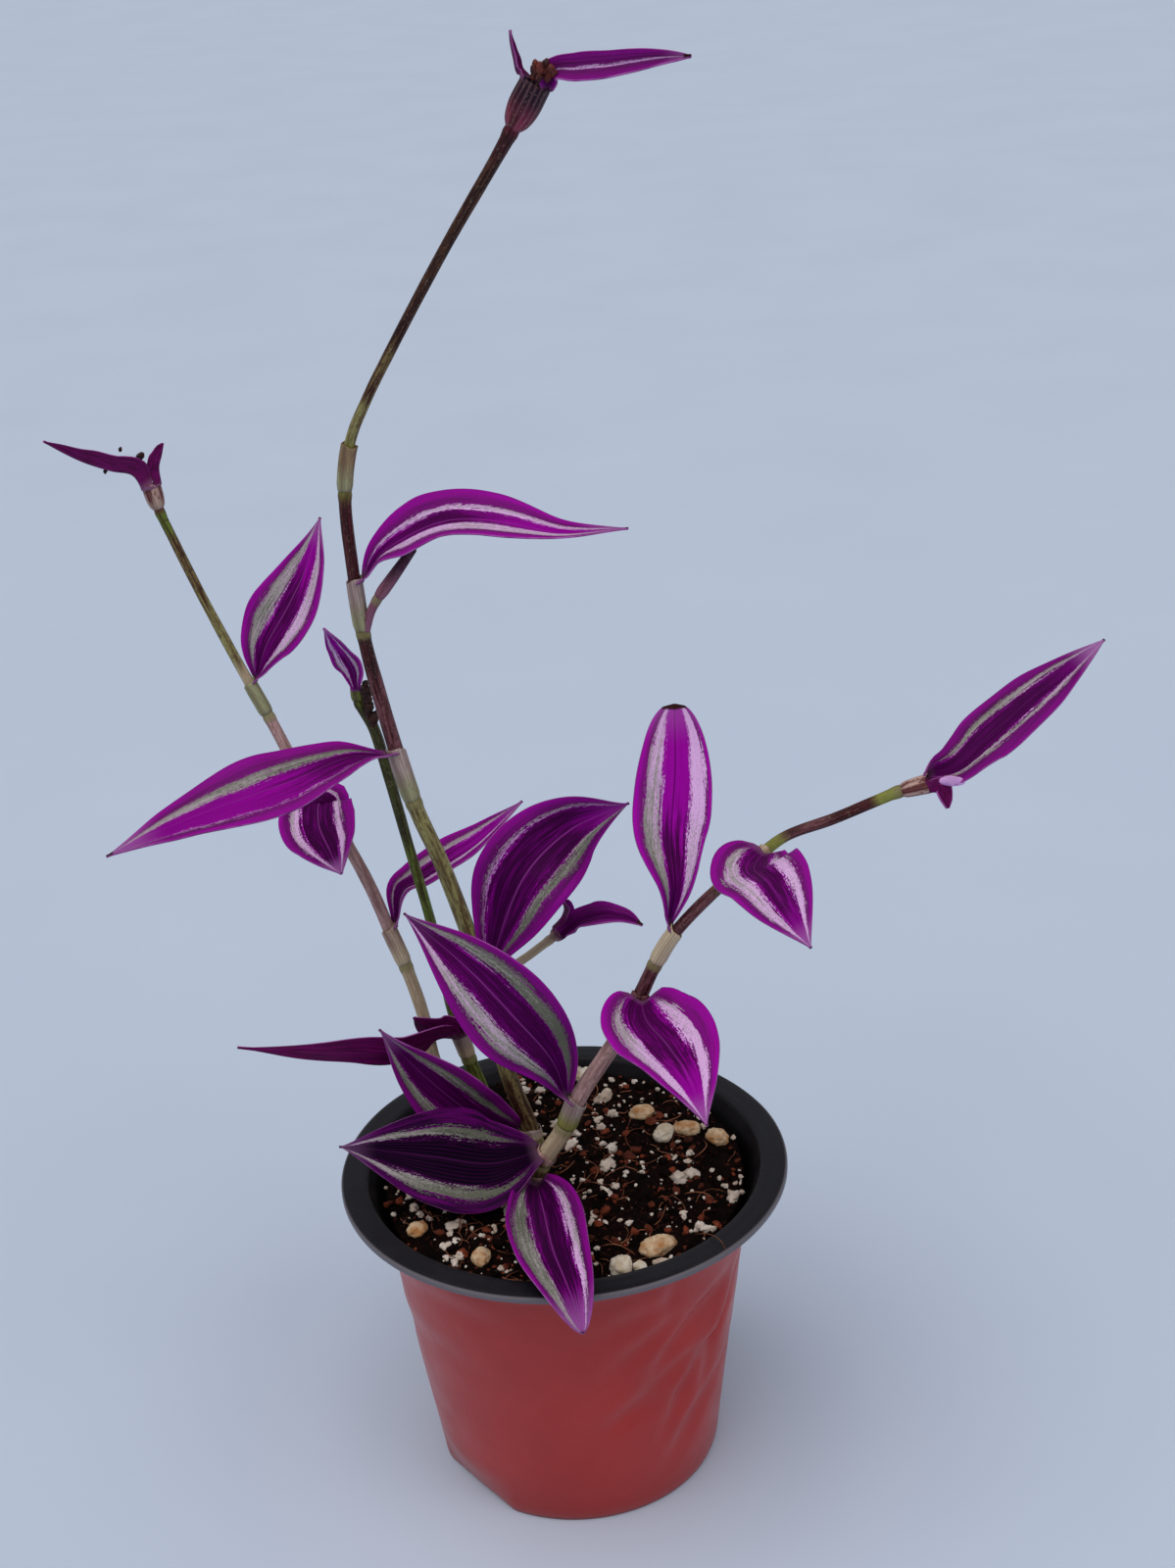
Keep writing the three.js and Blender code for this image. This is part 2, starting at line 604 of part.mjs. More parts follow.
// A knobbly lump: an icosahedron with its corners drawn in and out.
function lump(radius, stretch, turn, centre, random) {
  const ball = new THREE.IcosahedronGeometry(radius, 0).deleteAttribute('normal').deleteAttribute('uv');
  const geometry = mergeVertices(ball);
  const p = geometry.attributes.position;
  for (let i = 0; i < p.count; i++) {
    const push = mix(...knobs, random());
    p.setXYZ(i, p.getX(i) * push * stretch[0], p.getY(i) * push * stretch[1], p.getZ(i) * push * stretch[2]);
  }
  geometry.rotateZ(turn);
  geometry.translate(...centre);
  return toSolid(geometry);
}

const stoneShape = { length: 1.15, width: 0.85, stand: 0.35, firstSeed: 11 };

function stoneSolid([x, y, radius, flatness, turn], i, grow = 0) {
  const stretch = [stoneShape.length, stoneShape.width, flatness];
  const centre = [x, y, soilHeight(x, y) + radius * flatness * stoneShape.stand];
  return lump(radius + grow, stretch, radians(turn), centre, randomSource(stoneShape.firstSeed + i));
}

function soilSolid() {
  const edge = potRadius(pot.bodyTopHeight) - pot.wall - gap;
  const inset = pot.wall + 2 * gap;
  const sideHeights = bodyHeights.slice(0, -1).map((z) => [potRadius(z) - inset, z]);
  const profile = [
    [0, inset], [pot.floorRadius, inset], [potRadius(0) - inset - pot.fillet, inset + gap], ...sideHeights,
    [edge, pot.bodyTopHeight], [edge + gap, soil.level],
    ...soil.rings.map((share) => [share * edge, soil.level]).reverse(), [0, soil.level],
  ];
  let solid = turned(profile, (p) => {
    for (let i = 0; i < p.count; i++) {
      if (Math.abs(p.getZ(i) - soil.level) < 1e-3) p.setZ(i, soilHeight(p.getX(i), p.getY(i)));
    }
  });
  const random = randomSource(41);
  const reach = edge - 1.5 * soil.grainRadius[1];
  for (let i = 0; i < soil.grains; i++) {
    const angle = 2 * Math.PI * random();
    const distance = reach * Math.sqrt(random());
    const size = mix(...soil.grainRadius, random() ** 2);
    const [x, y] = [distance * Math.cos(angle), distance * Math.sin(angle)];
    const clear = stones.every(([sx, sy, sr]) => Math.hypot(sx - x, sy - y) > 1.3 * sr + size);
    if (clear) solid = solid.add(lump(size, [1.2, 1, 0.9], angle, [x, y, soilHeight(x, y)], random));
  }
  for (const clearance of Object.values(clearances)) solid = solid.subtract(clearance);
  stones.forEach((stone, i) => {
    solid = solid.subtract(stoneSolid(stone, i, 1.2 * gap));
  });
  return mainBody(solid);
}

// ---------- clusters and petal ----------

const smallBud = 0.62; // size of a bud round the middle one, as a share of it

function clusterSolid({ centre, radius, count, spread, stretch = 1, seed }) {
  const random = randomSource(seed);
  let solid = lump(radius, [1, 1, stretch], 0, centre, random);
  for (let i = 0; i < count; i++) {
    const angle = (2 * Math.PI * i) / count;
    const lift = mix(-0.6, 0.9, random()) * radius * stretch;
    const offset = vec([Math.cos(angle), Math.sin(angle), 0]).multiplyScalar(smallBud * spread);
    const place = vec(centre).add(offset).setZ(centre[2] + lift);
    solid = solid.add(lump(radius * smallBud, [1, 1, 1.2], angle, place.toArray(), random));
  }
  return solid;
}

function petalSolid() {
  const geometry = new THREE.SphereGeometry(1, 10, 6);
  geometry.scale(...petal.size);
  geometry.rotateY(petal.turn);
  geometry.rotateX(petal.tilt);
  geometry.translate(...petal.centre);
  return toSolid(geometry);
}

// ---------- assembly ----------

const plant = new THREE.Group();

function addPiece(name, solid, colour) {
  const mesh = new THREE.Mesh(toGeometry(solid), new THREE.MeshStandardMaterial(colours[colour]));
  mesh.name = name;
  plant.add(mesh);
}

addPiece('pot', potSolid(), 'pot');
addPiece('soil', soilSolid(), 'soil');
stones.forEach((stone, i) => addPiece(`stone_${i + 1}`, stoneSolid(stone, i), 'stone'));
for (const name of Object.keys(stems)) addPiece(`stem_${name}`, mainBody(fusedStem(name)), 'stem');
for (const [name, leaf] of Object.entries(leaves)) {
  addPiece(name, leafSolid({ ...leaf, blades: [leaf] }), 'leaf');
}
for (const [name, pair] of Object.entries(leafPairs)) addPiece(name, leafSolid(pair), 'leaf');
for (const [name, { on, joint, length, flare }] of Object.entries(bareSheaths)) {
  const tube = sheathSolid(traces[on], joint, length, flare);
  addPiece(name, mainBody(tube.subtract(clearances[stemOf(on)])), 'sheath');
}
for (const [name, cluster] of Object.entries(clusters)) addPiece(name, clusterSolid(cluster), 'buds');
addPiece('petal', petalSolid(), 'petal');

export default plant;
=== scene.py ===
# Potted tradescantia: striped magenta leaves on four leaning stems, in a thin two-tone nursery pot.
import random
from math import atan2, cos, exp, hypot, pi, radians, sin, sqrt
import bpy
import bmesh
from mathutils import Matrix, Quaternion, Vector, noise


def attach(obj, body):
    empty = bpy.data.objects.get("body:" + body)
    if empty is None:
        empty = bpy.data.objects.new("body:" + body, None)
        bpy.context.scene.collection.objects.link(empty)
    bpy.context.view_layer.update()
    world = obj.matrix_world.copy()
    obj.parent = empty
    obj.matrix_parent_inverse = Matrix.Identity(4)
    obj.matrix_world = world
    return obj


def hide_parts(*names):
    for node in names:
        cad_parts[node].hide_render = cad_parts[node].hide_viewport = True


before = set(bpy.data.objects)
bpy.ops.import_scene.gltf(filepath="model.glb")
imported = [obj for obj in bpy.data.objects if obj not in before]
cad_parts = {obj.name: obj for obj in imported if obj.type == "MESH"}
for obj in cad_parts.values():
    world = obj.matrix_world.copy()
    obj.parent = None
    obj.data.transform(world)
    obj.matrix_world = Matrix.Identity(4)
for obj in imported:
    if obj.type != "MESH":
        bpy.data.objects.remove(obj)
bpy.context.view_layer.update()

# Lengths below are in millimetres; meshes are scaled to metres as they are finished.
mm = 0.001
gap = 0.3


def mix(a, b, share):
    return a + (b - a) * share


def smooth(low, high, x):
    share = min(max((x - low) / (high - low), 0), 1)
    return share * share * (3 - 2 * share)


def paint(text, streaks=1.0):
    # a colour written as six hex digits, in the linear values that shaders use
    parts = [int(text[i:i + 2], 16) / 255 for i in (0, 2, 4)]
    linear = [c / 12.92 if c < 0.04045 else ((c + 0.055) / 1.055) ** 2.4 for c in parts]
    return (*linear, streaks)


def ripple(point, size, seed=0.0):
    # smooth noise between -1 and 1, with lumps of the given size
    return noise.noise(Vector(point) / size + Vector((seed, seed * 1.7, -seed)))


def around(direction, side, turn):
    # the way out from a stem at a turn from 0 to 1 round it
    angle = 2 * pi * turn
    return side * cos(angle) + direction.cross(side) * sin(angle)


class Route:
    # a smooth curve through given points, read by the distance along it
    def __init__(self, points, radii=None, perSpan=24):
        self.perSpan = perSpan
        points = [Vector(p) for p in points]
        side = Vector((0, -1, 0))
        distance = 0
        self.samples = []
        last = (len(points) - 1) * perSpan
        for i in range(last + 1):
            place = i / perSpan
            point = self.curvePoint(points, place)
            ahead = self.curvePoint(points, min(place + 0.02, len(points) - 1))
            behind = self.curvePoint(points, max(place - 0.02, 0))
            along = (ahead - behind).normalized()
            side = (side - along * side.dot(along)).normalized()
            if i:
                distance += (point - self.samples[-1][1]).length
            k = min(int(place), len(points) - 2)
            radius = mix(radii[k], radii[k + 1], place - k) if radii else 0
            self.samples.append((distance, point, along, side, radius, place))
        self.length = distance

    @staticmethod
    def curvePoint(points, place):
        # centripetal Catmull-Rom spline, straight on past its two ends
        k = min(int(place), len(points) - 2)
        w = place - k
        p1, p2 = points[k], points[k + 1]
        p0 = points[k - 1] if k else 2 * p1 - p2
        p3 = points[k + 2] if k + 2 < len(points) else 2 * p2 - p1
        d0, d1, d2 = [max((b - a).length, 0.01) ** 0.5 for a, b in ((p0, p1), (p1, p2), (p2, p3))]
        t1 = ((p1 - p0) / d0 - (p2 - p0) / (d0 + d1) + (p2 - p1) / d1) * d1
        t2 = ((p2 - p1) / d1 - (p3 - p1) / (d1 + d2) + (p3 - p2) / d2) * d1
        return p1 + t1 * w + (3 * (p2 - p1) - 2 * t1 - t2) * w * w + (2 * (p1 - p2) + t1 + t2) * w ** 3

    def atPoint(self, k):
        return self.samples[k * self.perSpan][0]

    def at(self, distance):
        # point, direction, side, radius and place there, straight on past either end
        low, high = 0, len(self.samples) - 1
        while high - low > 1:
            middle = (low + high) // 2
            if self.samples[middle][0] <= distance:
                low = middle
            else:
                high = middle
        a, b = self.samples[low], self.samples[high]
        share = (distance - a[0]) / max(b[0] - a[0], 1e-6)
        held = min(max(share, 0), 1)
        direction = mix(a[2], b[2], held).normalized()
        return mix(a[1], b[1], share), direction, a[3], mix(a[4], b[4], held), mix(a[5], b[5], held)


def gridShape(columns, rows, place, uvOf=None, toneOf=None, closed=False):
    # a flat grid of unit size, moved into shape point by point; its UV map keeps the flat place
    bm = bmesh.new()
    uvMap = bm.loops.layers.uv.new("UVMap")
    toneLayer = bm.verts.layers.float_color.new("tone")
    bmesh.ops.create_grid(bm, x_segments=columns, y_segments=rows, size=0.5)
    for face in bm.faces:
        for loop in face.loops:
            across, along = loop.vert.co.x + 0.5, loop.vert.co.y + 0.5
            loop[uvMap].uv = uvOf(across, along) if uvOf else (across, along)
    for vert in bm.verts:
        across, along = vert.co.x + 0.5, vert.co.y + 0.5
        vert[toneLayer] = toneOf(across, along) if toneOf else (1, 1, 1, 1)
        vert.co = place(across, along)
    if closed:
        bmesh.ops.remove_doubles(bm, verts=bm.verts, dist=1e-4)
    return bm


def joinInto(bm, other, materialIndex=0):
    # adds another bmesh to this one, with its faces on the given material slot
    for face in other.faces:
        face.material_index += materialIndex
    spare = bpy.data.meshes.new("spare")
    other.to_mesh(spare)
    other.free()
    bm.from_mesh(spare)
    bpy.data.meshes.remove(spare)


def addObject(name, data):
    item = bpy.data.objects.new(name, data)
    bpy.context.scene.collection.objects.link(item)
    return item


def finishPiece(bm, name, materials, nodes=(), soft=True):
    # turns a bmesh in millimetres into an object in metres that rides on the part
    bmesh.ops.scale(bm, vec=(mm, mm, mm), verts=bm.verts)
    mesh = bpy.data.meshes.new(name)
    bm.to_mesh(mesh)
    bm.free()
    for material in materials:
        mesh.materials.append(material)
    mesh.polygons.foreach_set("use_smooth", [soft] * len(mesh.polygons))
    piece = addObject(name, mesh)
    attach(piece, "root")
    if nodes:
        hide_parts(*nodes)
    return piece


class Signal:
    # a value in a shader; arithmetic on it adds Math nodes
    def __init__(self, tree, socket):
        self.tree = tree
        self.socket = socket

    def calc(self, operation, *others):
        return addNode(self.tree, "Math", dict(enumerate((self, *others))), operation=operation)[0]

    def __add__(self, other):
        return self.calc("ADD", other)

    def __sub__(self, other):
        return self.calc("SUBTRACT", other)

    def __mul__(self, other):
        return self.calc("MULTIPLY", other)

    def __truediv__(self, other):
        return self.calc("DIVIDE", other)

    def __abs__(self):
        return self.calc("ABSOLUTE")

    def atLeast(self, other):
        return self.calc("MAXIMUM", other)

    def fade(self, low, high):
        # 0 below low and 1 above high, with a soft step between; low may be the larger
        values = {"Value": self, "From Min": low, "From Max": high}
        return addNode(self.tree, "MapRange", values, interpolation_type="SMOOTHSTEP")[0]

    def blend(self, first, second):
        # the first colour where this is 0 and the second where it is 1
        return addNode(self.tree, "Mix", {0: self, 6: first, 7: second}, data_type="RGBA")[2]

    def tint(self, other):
        # this colour multiplied by another
        values = {0: 1.0, 6: self, 7: other}
        return addNode(self.tree, "Mix", values, data_type="RGBA", blend_type="MULTIPLY")[2]

    def noise(self, scale, detail=2.0, roughness=0.5):
        values = {"Vector": self, "Scale": scale, "Detail": detail, "Roughness": roughness}
        return addNode(self.tree, "TexNoise", values)[0]

    def split(self):
        return addNode(self.tree, "SeparateXYZ", {0: self})


def feed(socket, value):
    # links a signal, or sets a number or a colour, which may be six hex digits
    if isinstance(value, Signal):
        value.tree.links.new(value.socket, socket)
    else:
        socket.default_value = paint(value) if isinstance(value, str) else value


def addNode(tree, kind, values=None, **settings):
    # adds a node and gives its outputs in their order
    node = tree.nodes.new("ShaderNode" + kind)
    for name, value in settings.items():
        setattr(node, name, value)
    for socket, value in (values or {}).items():
        feed(node.inputs[socket], value)
    return [Signal(tree, socket) for socket in node.outputs]


def combine(x, y, z=0.0):
    return addNode(x.tree, "CombineXYZ", {0: x, 1: y, 2: z})[0]


def newGroup(name, inputs, outputs):
    # a shader node group; a number makes a plain input, None a vector one
    tree = bpy.data.node_groups.new(name, "ShaderNodeTree")
    for label, value in inputs.items():
        kind = "Vector" if value is None else "Float"
        socket = tree.interface.new_socket(name=label, in_out="INPUT", socket_type="NodeSocket" + kind)
        if value is not None:
            socket.default_value = value
    for label, kind in outputs.items():
        tree.interface.new_socket(name=label, in_out="OUTPUT", socket_type="NodeSocket" + kind)
    given = tree.nodes.new("NodeGroupInput").outputs
    result = tree.nodes.new("NodeGroupOutput").inputs
    return tree, {label: Signal(tree, given[label]) for label in inputs}, result


def useGroup(tree, group, values):
    node = tree.nodes.new("ShaderNodeGroup")
    node.node_tree = group
    for socket, value in values.items():
        feed(node.inputs[socket], value)
    return [Signal(tree, socket) for socket in node.outputs]


def newMaterial(name, **surface):
    # a material with a Principled surface; its plain values are set on the shader's own sockets
    material = bpy.data.materials.new(name)
    material.use_nodes = True
    shader = material.node_tree.nodes["Principled BSDF"]
    for socket, value in surface.items():
        shader.inputs[socket.replace("_", " ")].default_value = value
    return material, material.node_tree


def dress(material, colour, roughness=None, height=None, distance=0.0002, strength=0.7):
    # feeds the surface with what changes over it
    surface = material.node_tree.nodes["Principled BSDF"].inputs
    feed(surface["Base Color"], colour)
    if roughness:
        feed(surface["Roughness"], roughness)
    if height:
        values = {"Height": height, "Distance": distance, "Strength": strength}
        feed(surface["Normal"], addNode(material.node_tree, "Bump", values)[0])
    return material


def ownPlace(tree):
    # the point in the piece's own space, in metres
    return Signal(tree, tree.nodes.new("ShaderNodeTexCoord").outputs["Object"])


def uvPlace(tree):
    return addNode(tree, "UVMap", uv_map="UVMap")[0].split()


def paintedTone(tree, output):
    node = tree.nodes.new("ShaderNodeAttribute")
    node.attribute_name = "tone"
    return Signal(tree, node.outputs[output])


def veinGroup():
    # fine lines that run along a leaf, sheath or stem
    inputs = {"Across": 0.0, "Along": 0.0, "Count": 20.0, "Waver": 0.6}
    tree, given, result = newGroup("longVeins", inputs, {"Lines": "Float"})
    drift = combine(given["Across"] * 5.0, given["Along"]).noise(3.0)
    place = given["Across"] * given["Count"] + drift * given["Waver"]
    feed(result["Lines"], (place.calc("PINGPONG", 0.5) * 2.0).calc("POWER", 2.5))
    return tree


def speckGroup():
    # patchy specks and clouds in the piece's own space
    inputs = {"Vector": None, "Speck Scale": 900.0, "Cloud Scale": 60.0, "Speck Share": 0.3}
    tree, given, result = newGroup("speckAndCloud", inputs, {"Specks": "Float", "Clouds": "Float"})
    level = given["Speck Share"] * -0.4 + 0.72
    feed(result["Specks"], given["Vector"].noise(given["Speck Scale"], 3.0, 0.6).fade(level, level + 0.12))
    feed(result["Clouds"], given["Vector"].noise(given["Cloud Scale"], 3.0, 0.55).fade(0.3, 0.7))
    return tree


longVeins = veinGroup()
speckAndCloud = speckGroup()


def veinLines(across, along, count, waver):
    values = {"Across": across, "Along": along, "Count": count, "Waver": waver}
    return useGroup(across.tree, longVeins, values)[0]


def specksAndClouds(where, speckScale, cloudScale, share):
    values = {"Vector": where, "Speck Scale": speckScale, "Cloud Scale": cloudScale, "Speck Share": share}
    return useGroup(where.tree, speckAndCloud, values)


print("shared effects ready")


# colours of the leaves as six hex digits
leafPaint = {
    "silverDull": "66695a", "silver": "a49e9a", "silverPink": "ecbcf1", "silverCells": "7a4a76",
    "middle": "5a0657", "middleDeep": "0c0214", "magenta": "a306a4", "lightRib": "a845a8",
    "darkRib": "1c0420", "margin": "6a2064", "marginDeep": "2c0633", "marginBright": "ae0aac",
    "tip": "cb8fd0", "driedTip": "3d2220", "foot": "9a6f8c", "under": "520340", "underBright": "800868",
    "underVeins": "3d0834", "underFoot": "8f5f7f", "edge": "861f82", "edgePale": "b35fb0",
}


def zebraGroup():
    # the upper face of a leaf: two silver stripes on magenta, with a dark centre and a fine midrib
    # Across runs from 0 to 1 over the blade's width and Along from its base to its tip.
    # Left and Right give a stripe's inner edge, outer edge and paleness.
    # Centre gives how far the dark middle runs, how deep it is and how bright the magenta glows.
    inputs = {"Across": 0.5, "Along": 0.5, "Seed": 0.0, "Left": None, "Right": None, "Turn": 0.0,
              "Centre": None, "Midrib": 0.5, "Tip": 0.4, "Dried": 0.988}
    outputs = {"Color": "Color", "Height": "Float", "Roughness": "Float"}
    tree, given, result = newGroup("zebraBlade", inputs, outputs)
    along, midrib, dried = given["Along"], given["Midrib"], given["Dried"]
    u = given["Across"] * 2.0 - 1.0
    halfShare = abs(u)
    onRight = u.calc("GREATER_THAN", 0.0)
    seed = onRight * 7.3 + given["Seed"]
    chosen = addNode(tree, "Mix", {0: onRight, 4: given["Left"], 5: given["Right"]}, data_type="VECTOR")[1]
    inner, outer, paleness = chosen.split()
    reach, depth, glow = given["Centre"].split()

    # streaks run along the blade, grain is the leaf's cells
    streak = combine(u * 9.0, along * 2.2, seed).noise(1.7, 4.0, 0.68).fade(0.3, 0.7)
    broad = combine(u, along * 4.0, seed).noise(1.3)
    grain = combine(u * 26.0, along * 46.0, seed).noise(1.6, 3.0, 0.7).fade(0.3, 0.7)
    veins = veinLines(u, along, 13.0, 0.5)

    # the stripe narrows to the base and a little to the tip, and its edges are ragged
    place = halfShare + (broad - 0.5) * 0.16 + (streak - 0.5) * 0.13 + (grain - 0.5) * 0.11
    width = (along.fade(0.02, 0.34) * 0.75 + 0.25) * (along.fade(1.0, 0.7) * 0.35 + 0.65)
    halfWidth = (outer - inner) * 0.5 * width
    offset = place - (inner + outer) * 0.5
    away = abs(offset) / halfWidth.atLeast(0.01)
    stripe = away.fade(1.22, 0.86) * along.fade(0.03, 0.14) * (outer - inner).fade(0.0, 0.1)

    # silver turns from grey-green to pinkish white
    pale = paleness + (streak - 0.5) * 0.45 + (along - 0.5) * given["Turn"] + (grain - 0.5) * 0.4
    silver = pale.fade(0.0, 0.5).blend(leafPaint["silverDull"], leafPaint["silver"])
    silver = pale.fade(0.4, 1.0).blend(silver, leafPaint["silverPink"])
    cells = grain.fade(0.3, 0.0) * (streak * 0.5 + 0.1)
    silver = cells.blend(silver, leafPaint["silverCells"])

    # centre: near black as far as its reach, magenta beyond it and in a line beside the stripe
    shine = glow * 0.8 + 0.15
    beyond = (streak * 0.2 + along).fade(reach, reach + 0.3)
    line = (offset + halfWidth).fade(-0.14, -0.03) * (streak * 0.8 + 0.3)
    bright = line.atLeast(beyond) * shine + streak.fade(0.45, 1.0) * (glow * 0.45) + veins * 0.08
    centre = bright.blend(depth.blend(leafPaint["middle"], leafPaint["middleDeep"]), leafPaint["magenta"])
    ribLine = halfShare.fade(0.03, 0.008)
    centre = (ribLine * midrib.atLeast(0.0)).blend(centre, leafPaint["lightRib"])
    centre = (ribLine * (midrib * -1.0).atLeast(0.0)).blend(centre, leafPaint["darkRib"])

    # margin: dull by the stripe, brighter towards the edge
    lift = (halfShare.fade(outer + 0.04, 0.98) * 0.7 + 0.3) * shine + (streak - 0.5) * 0.4
    margin = lift.blend(depth.blend(leafPaint["margin"], leafPaint["marginDeep"]), leafPaint["marginBright"])

    colour = stripe.blend(offset.fade(-0.02, 0.02).blend(centre, margin), silver)
    colour = (along.fade(0.8, 1.0) * given["Tip"]).blend(colour, leafPaint["tip"])
    colour = along.fade(dried, dried + 0.01).blend(colour, leafPaint["driedTip"])
    colour = (along.fade(0.06, 0.0) * 0.6).blend(colour, leafPaint["foot"])
    feed(result["Color"], colour)
    feed(result["Height"], grain * 0.3 + veins * 0.45 - ribLine)
    feed(result["Roughness"], grain * 0.16 + stripe * 0.14 + 0.32)
    return tree


zebraBlade = zebraGroup()

# what a leaf's look holds where its own entry doesn't say
plainLook = {"turn": 0.3, "midrib": 0.5, "tip": 0.35, "dried": 0.988}


def leafUpper(name, look, seed):
    material, tree = newMaterial(name, Specular_IOR_Level=0.03)
    across, along, _ = uvPlace(tree)
    values = {label.capitalize(): value for label, value in {**plainLook, **look}.items()}
    values.update({"Across": across, "Along": along, "Seed": seed})
    colour, height, roughness = useGroup(tree, zebraBlade, values)
    return dress(material, colour, roughness, height, 0.00012, 0.8)


def leafUnder():
    material, tree = newMaterial("leafUnderside", Specular_IOR_Level=0.12)
    across, along, _ = uvPlace(tree)
    veins = veinLines(across, along, 28.0, 0.6)
    cloud = combine(across * 8.0, along * 3.0).noise(2.0, 3.0)
    colour = cloud.fade(0.3, 0.7).blend(leafPaint["under"], leafPaint["underBright"])
    colour = (veins * 0.4).blend(colour, leafPaint["underVeins"])
    colour = along.fade(0.1, 0.0).blend(colour, leafPaint["underFoot"])
    return dress(material, colour, cloud * 0.15 + 0.34, veins, 0.0001, 0.7)


def leafEdge():
    material, tree = newMaterial("leafEdge", Roughness=0.5)
    clouds = specksAndClouds(ownPlace(tree), 900.0, 220.0, 0.3)[1]
    return dress(material, clouds.blend(leafPaint["edge"], leafPaint["edgePale"]))


skinPaint = {"streaks": "7d4c50", "veins": "8a6068", "flecks": "c3b59c"}


def skinMaterial(name, veinCount, veinShare, streakLength, roughness):
    # stems and sheaths: their tone is painted on the mesh, and its alpha says how streaky they are
    material, tree = newMaterial(name, Specular_IOR_Level=0.18, Subsurface_Weight=0.06,
                                 Subsurface_Radius=(0.002, 0.001, 0.001))
    across, along, _ = uvPlace(tree)
    where, tone = ownPlace(tree), paintedTone(tree, "Color")
    veins = veinLines(across, along, veinCount, 0.8)
    long = combine(across * 9.0, along * streakLength, where.split()[0])
    streak = long.noise(1.0, 4.0, 0.6).fade(0.42, 0.6)
    dash = combine(across * 8.0, along * (5.5 * streakLength)).noise(1.3, 3.0, 0.65).fade(0.48, 0.62)
    streaks = streak.atLeast(dash * 0.75) * paintedTone(tree, "Alpha") * 0.95
    fine = where.noise(1500.0)
    colour = streaks.blend(tone, tone.tint(skinPaint["streaks"]))
    colour = (veins * veinShare).blend(colour, skinPaint["veins"])
    colour = (fine.fade(0.55, 0.75) * 0.15).blend(colour, skinPaint["flecks"])
    return dress(material, colour, fine * 0.2 + roughness, streak * 0.4 + veins, 0.00012, 0.6)


underside = leafUnder()
edgeSkin = leafEdge()
stemSkin = skinMaterial("stemSkin", 12.0, 0.12, 5.0, 0.38)
sheathSkin = skinMaterial("sheathSkin", 17.0, 0.5, 2.0, 0.42)
print("leaf and stem materials ready")

# tones painted on stems and sheaths; the second value is how strongly dark streaks show
tones = {
    "olive": paint("98935c", 0.9),
    "lime": paint("8c9042", 0.25),
    "sage": paint("a3a77c", 0.5),
    "ring": paint("8c8a58", 0.2),
    "beige": paint("c9b696", 0.35),
    "straw": paint("d6c6a4", 0.25),
    "bark": paint("94805a", 0.6),
    "rose": paint("c09a96", 0.6),
    "maroon": paint("784850", 1.0),
    "wine": paint("4a1419", 0.8),
    "dusk": paint("40161a", 1.0),
    "moss": paint("6a7c2a", 0.9),
    "pine": paint("444a1e", 0.8),
    "mottled": paint("7a6a40", 1.2),
    "dark": paint("4e301e", 1.2),
    "papery": paint("b5a29c", 0.5),
    "cream": paint("c4ac98", 0.6),
    "pink": paint("b08a98", 0.5),
    "mauve": paint("99607a", 0.6),
    "plum": paint("3c0634", 0.4),
    "throat": paint("8a2c4c", 1.0),
    "blush": paint("cdaa9c", 1.5),
    # ink, near black, tops the tall stem's bract sheath: partly its dark wine colour and partly painted
    # shadow under the buds
    "ink": paint("22041c", 0.3),
    "goblet": paint("6a1036", 0.5),
}

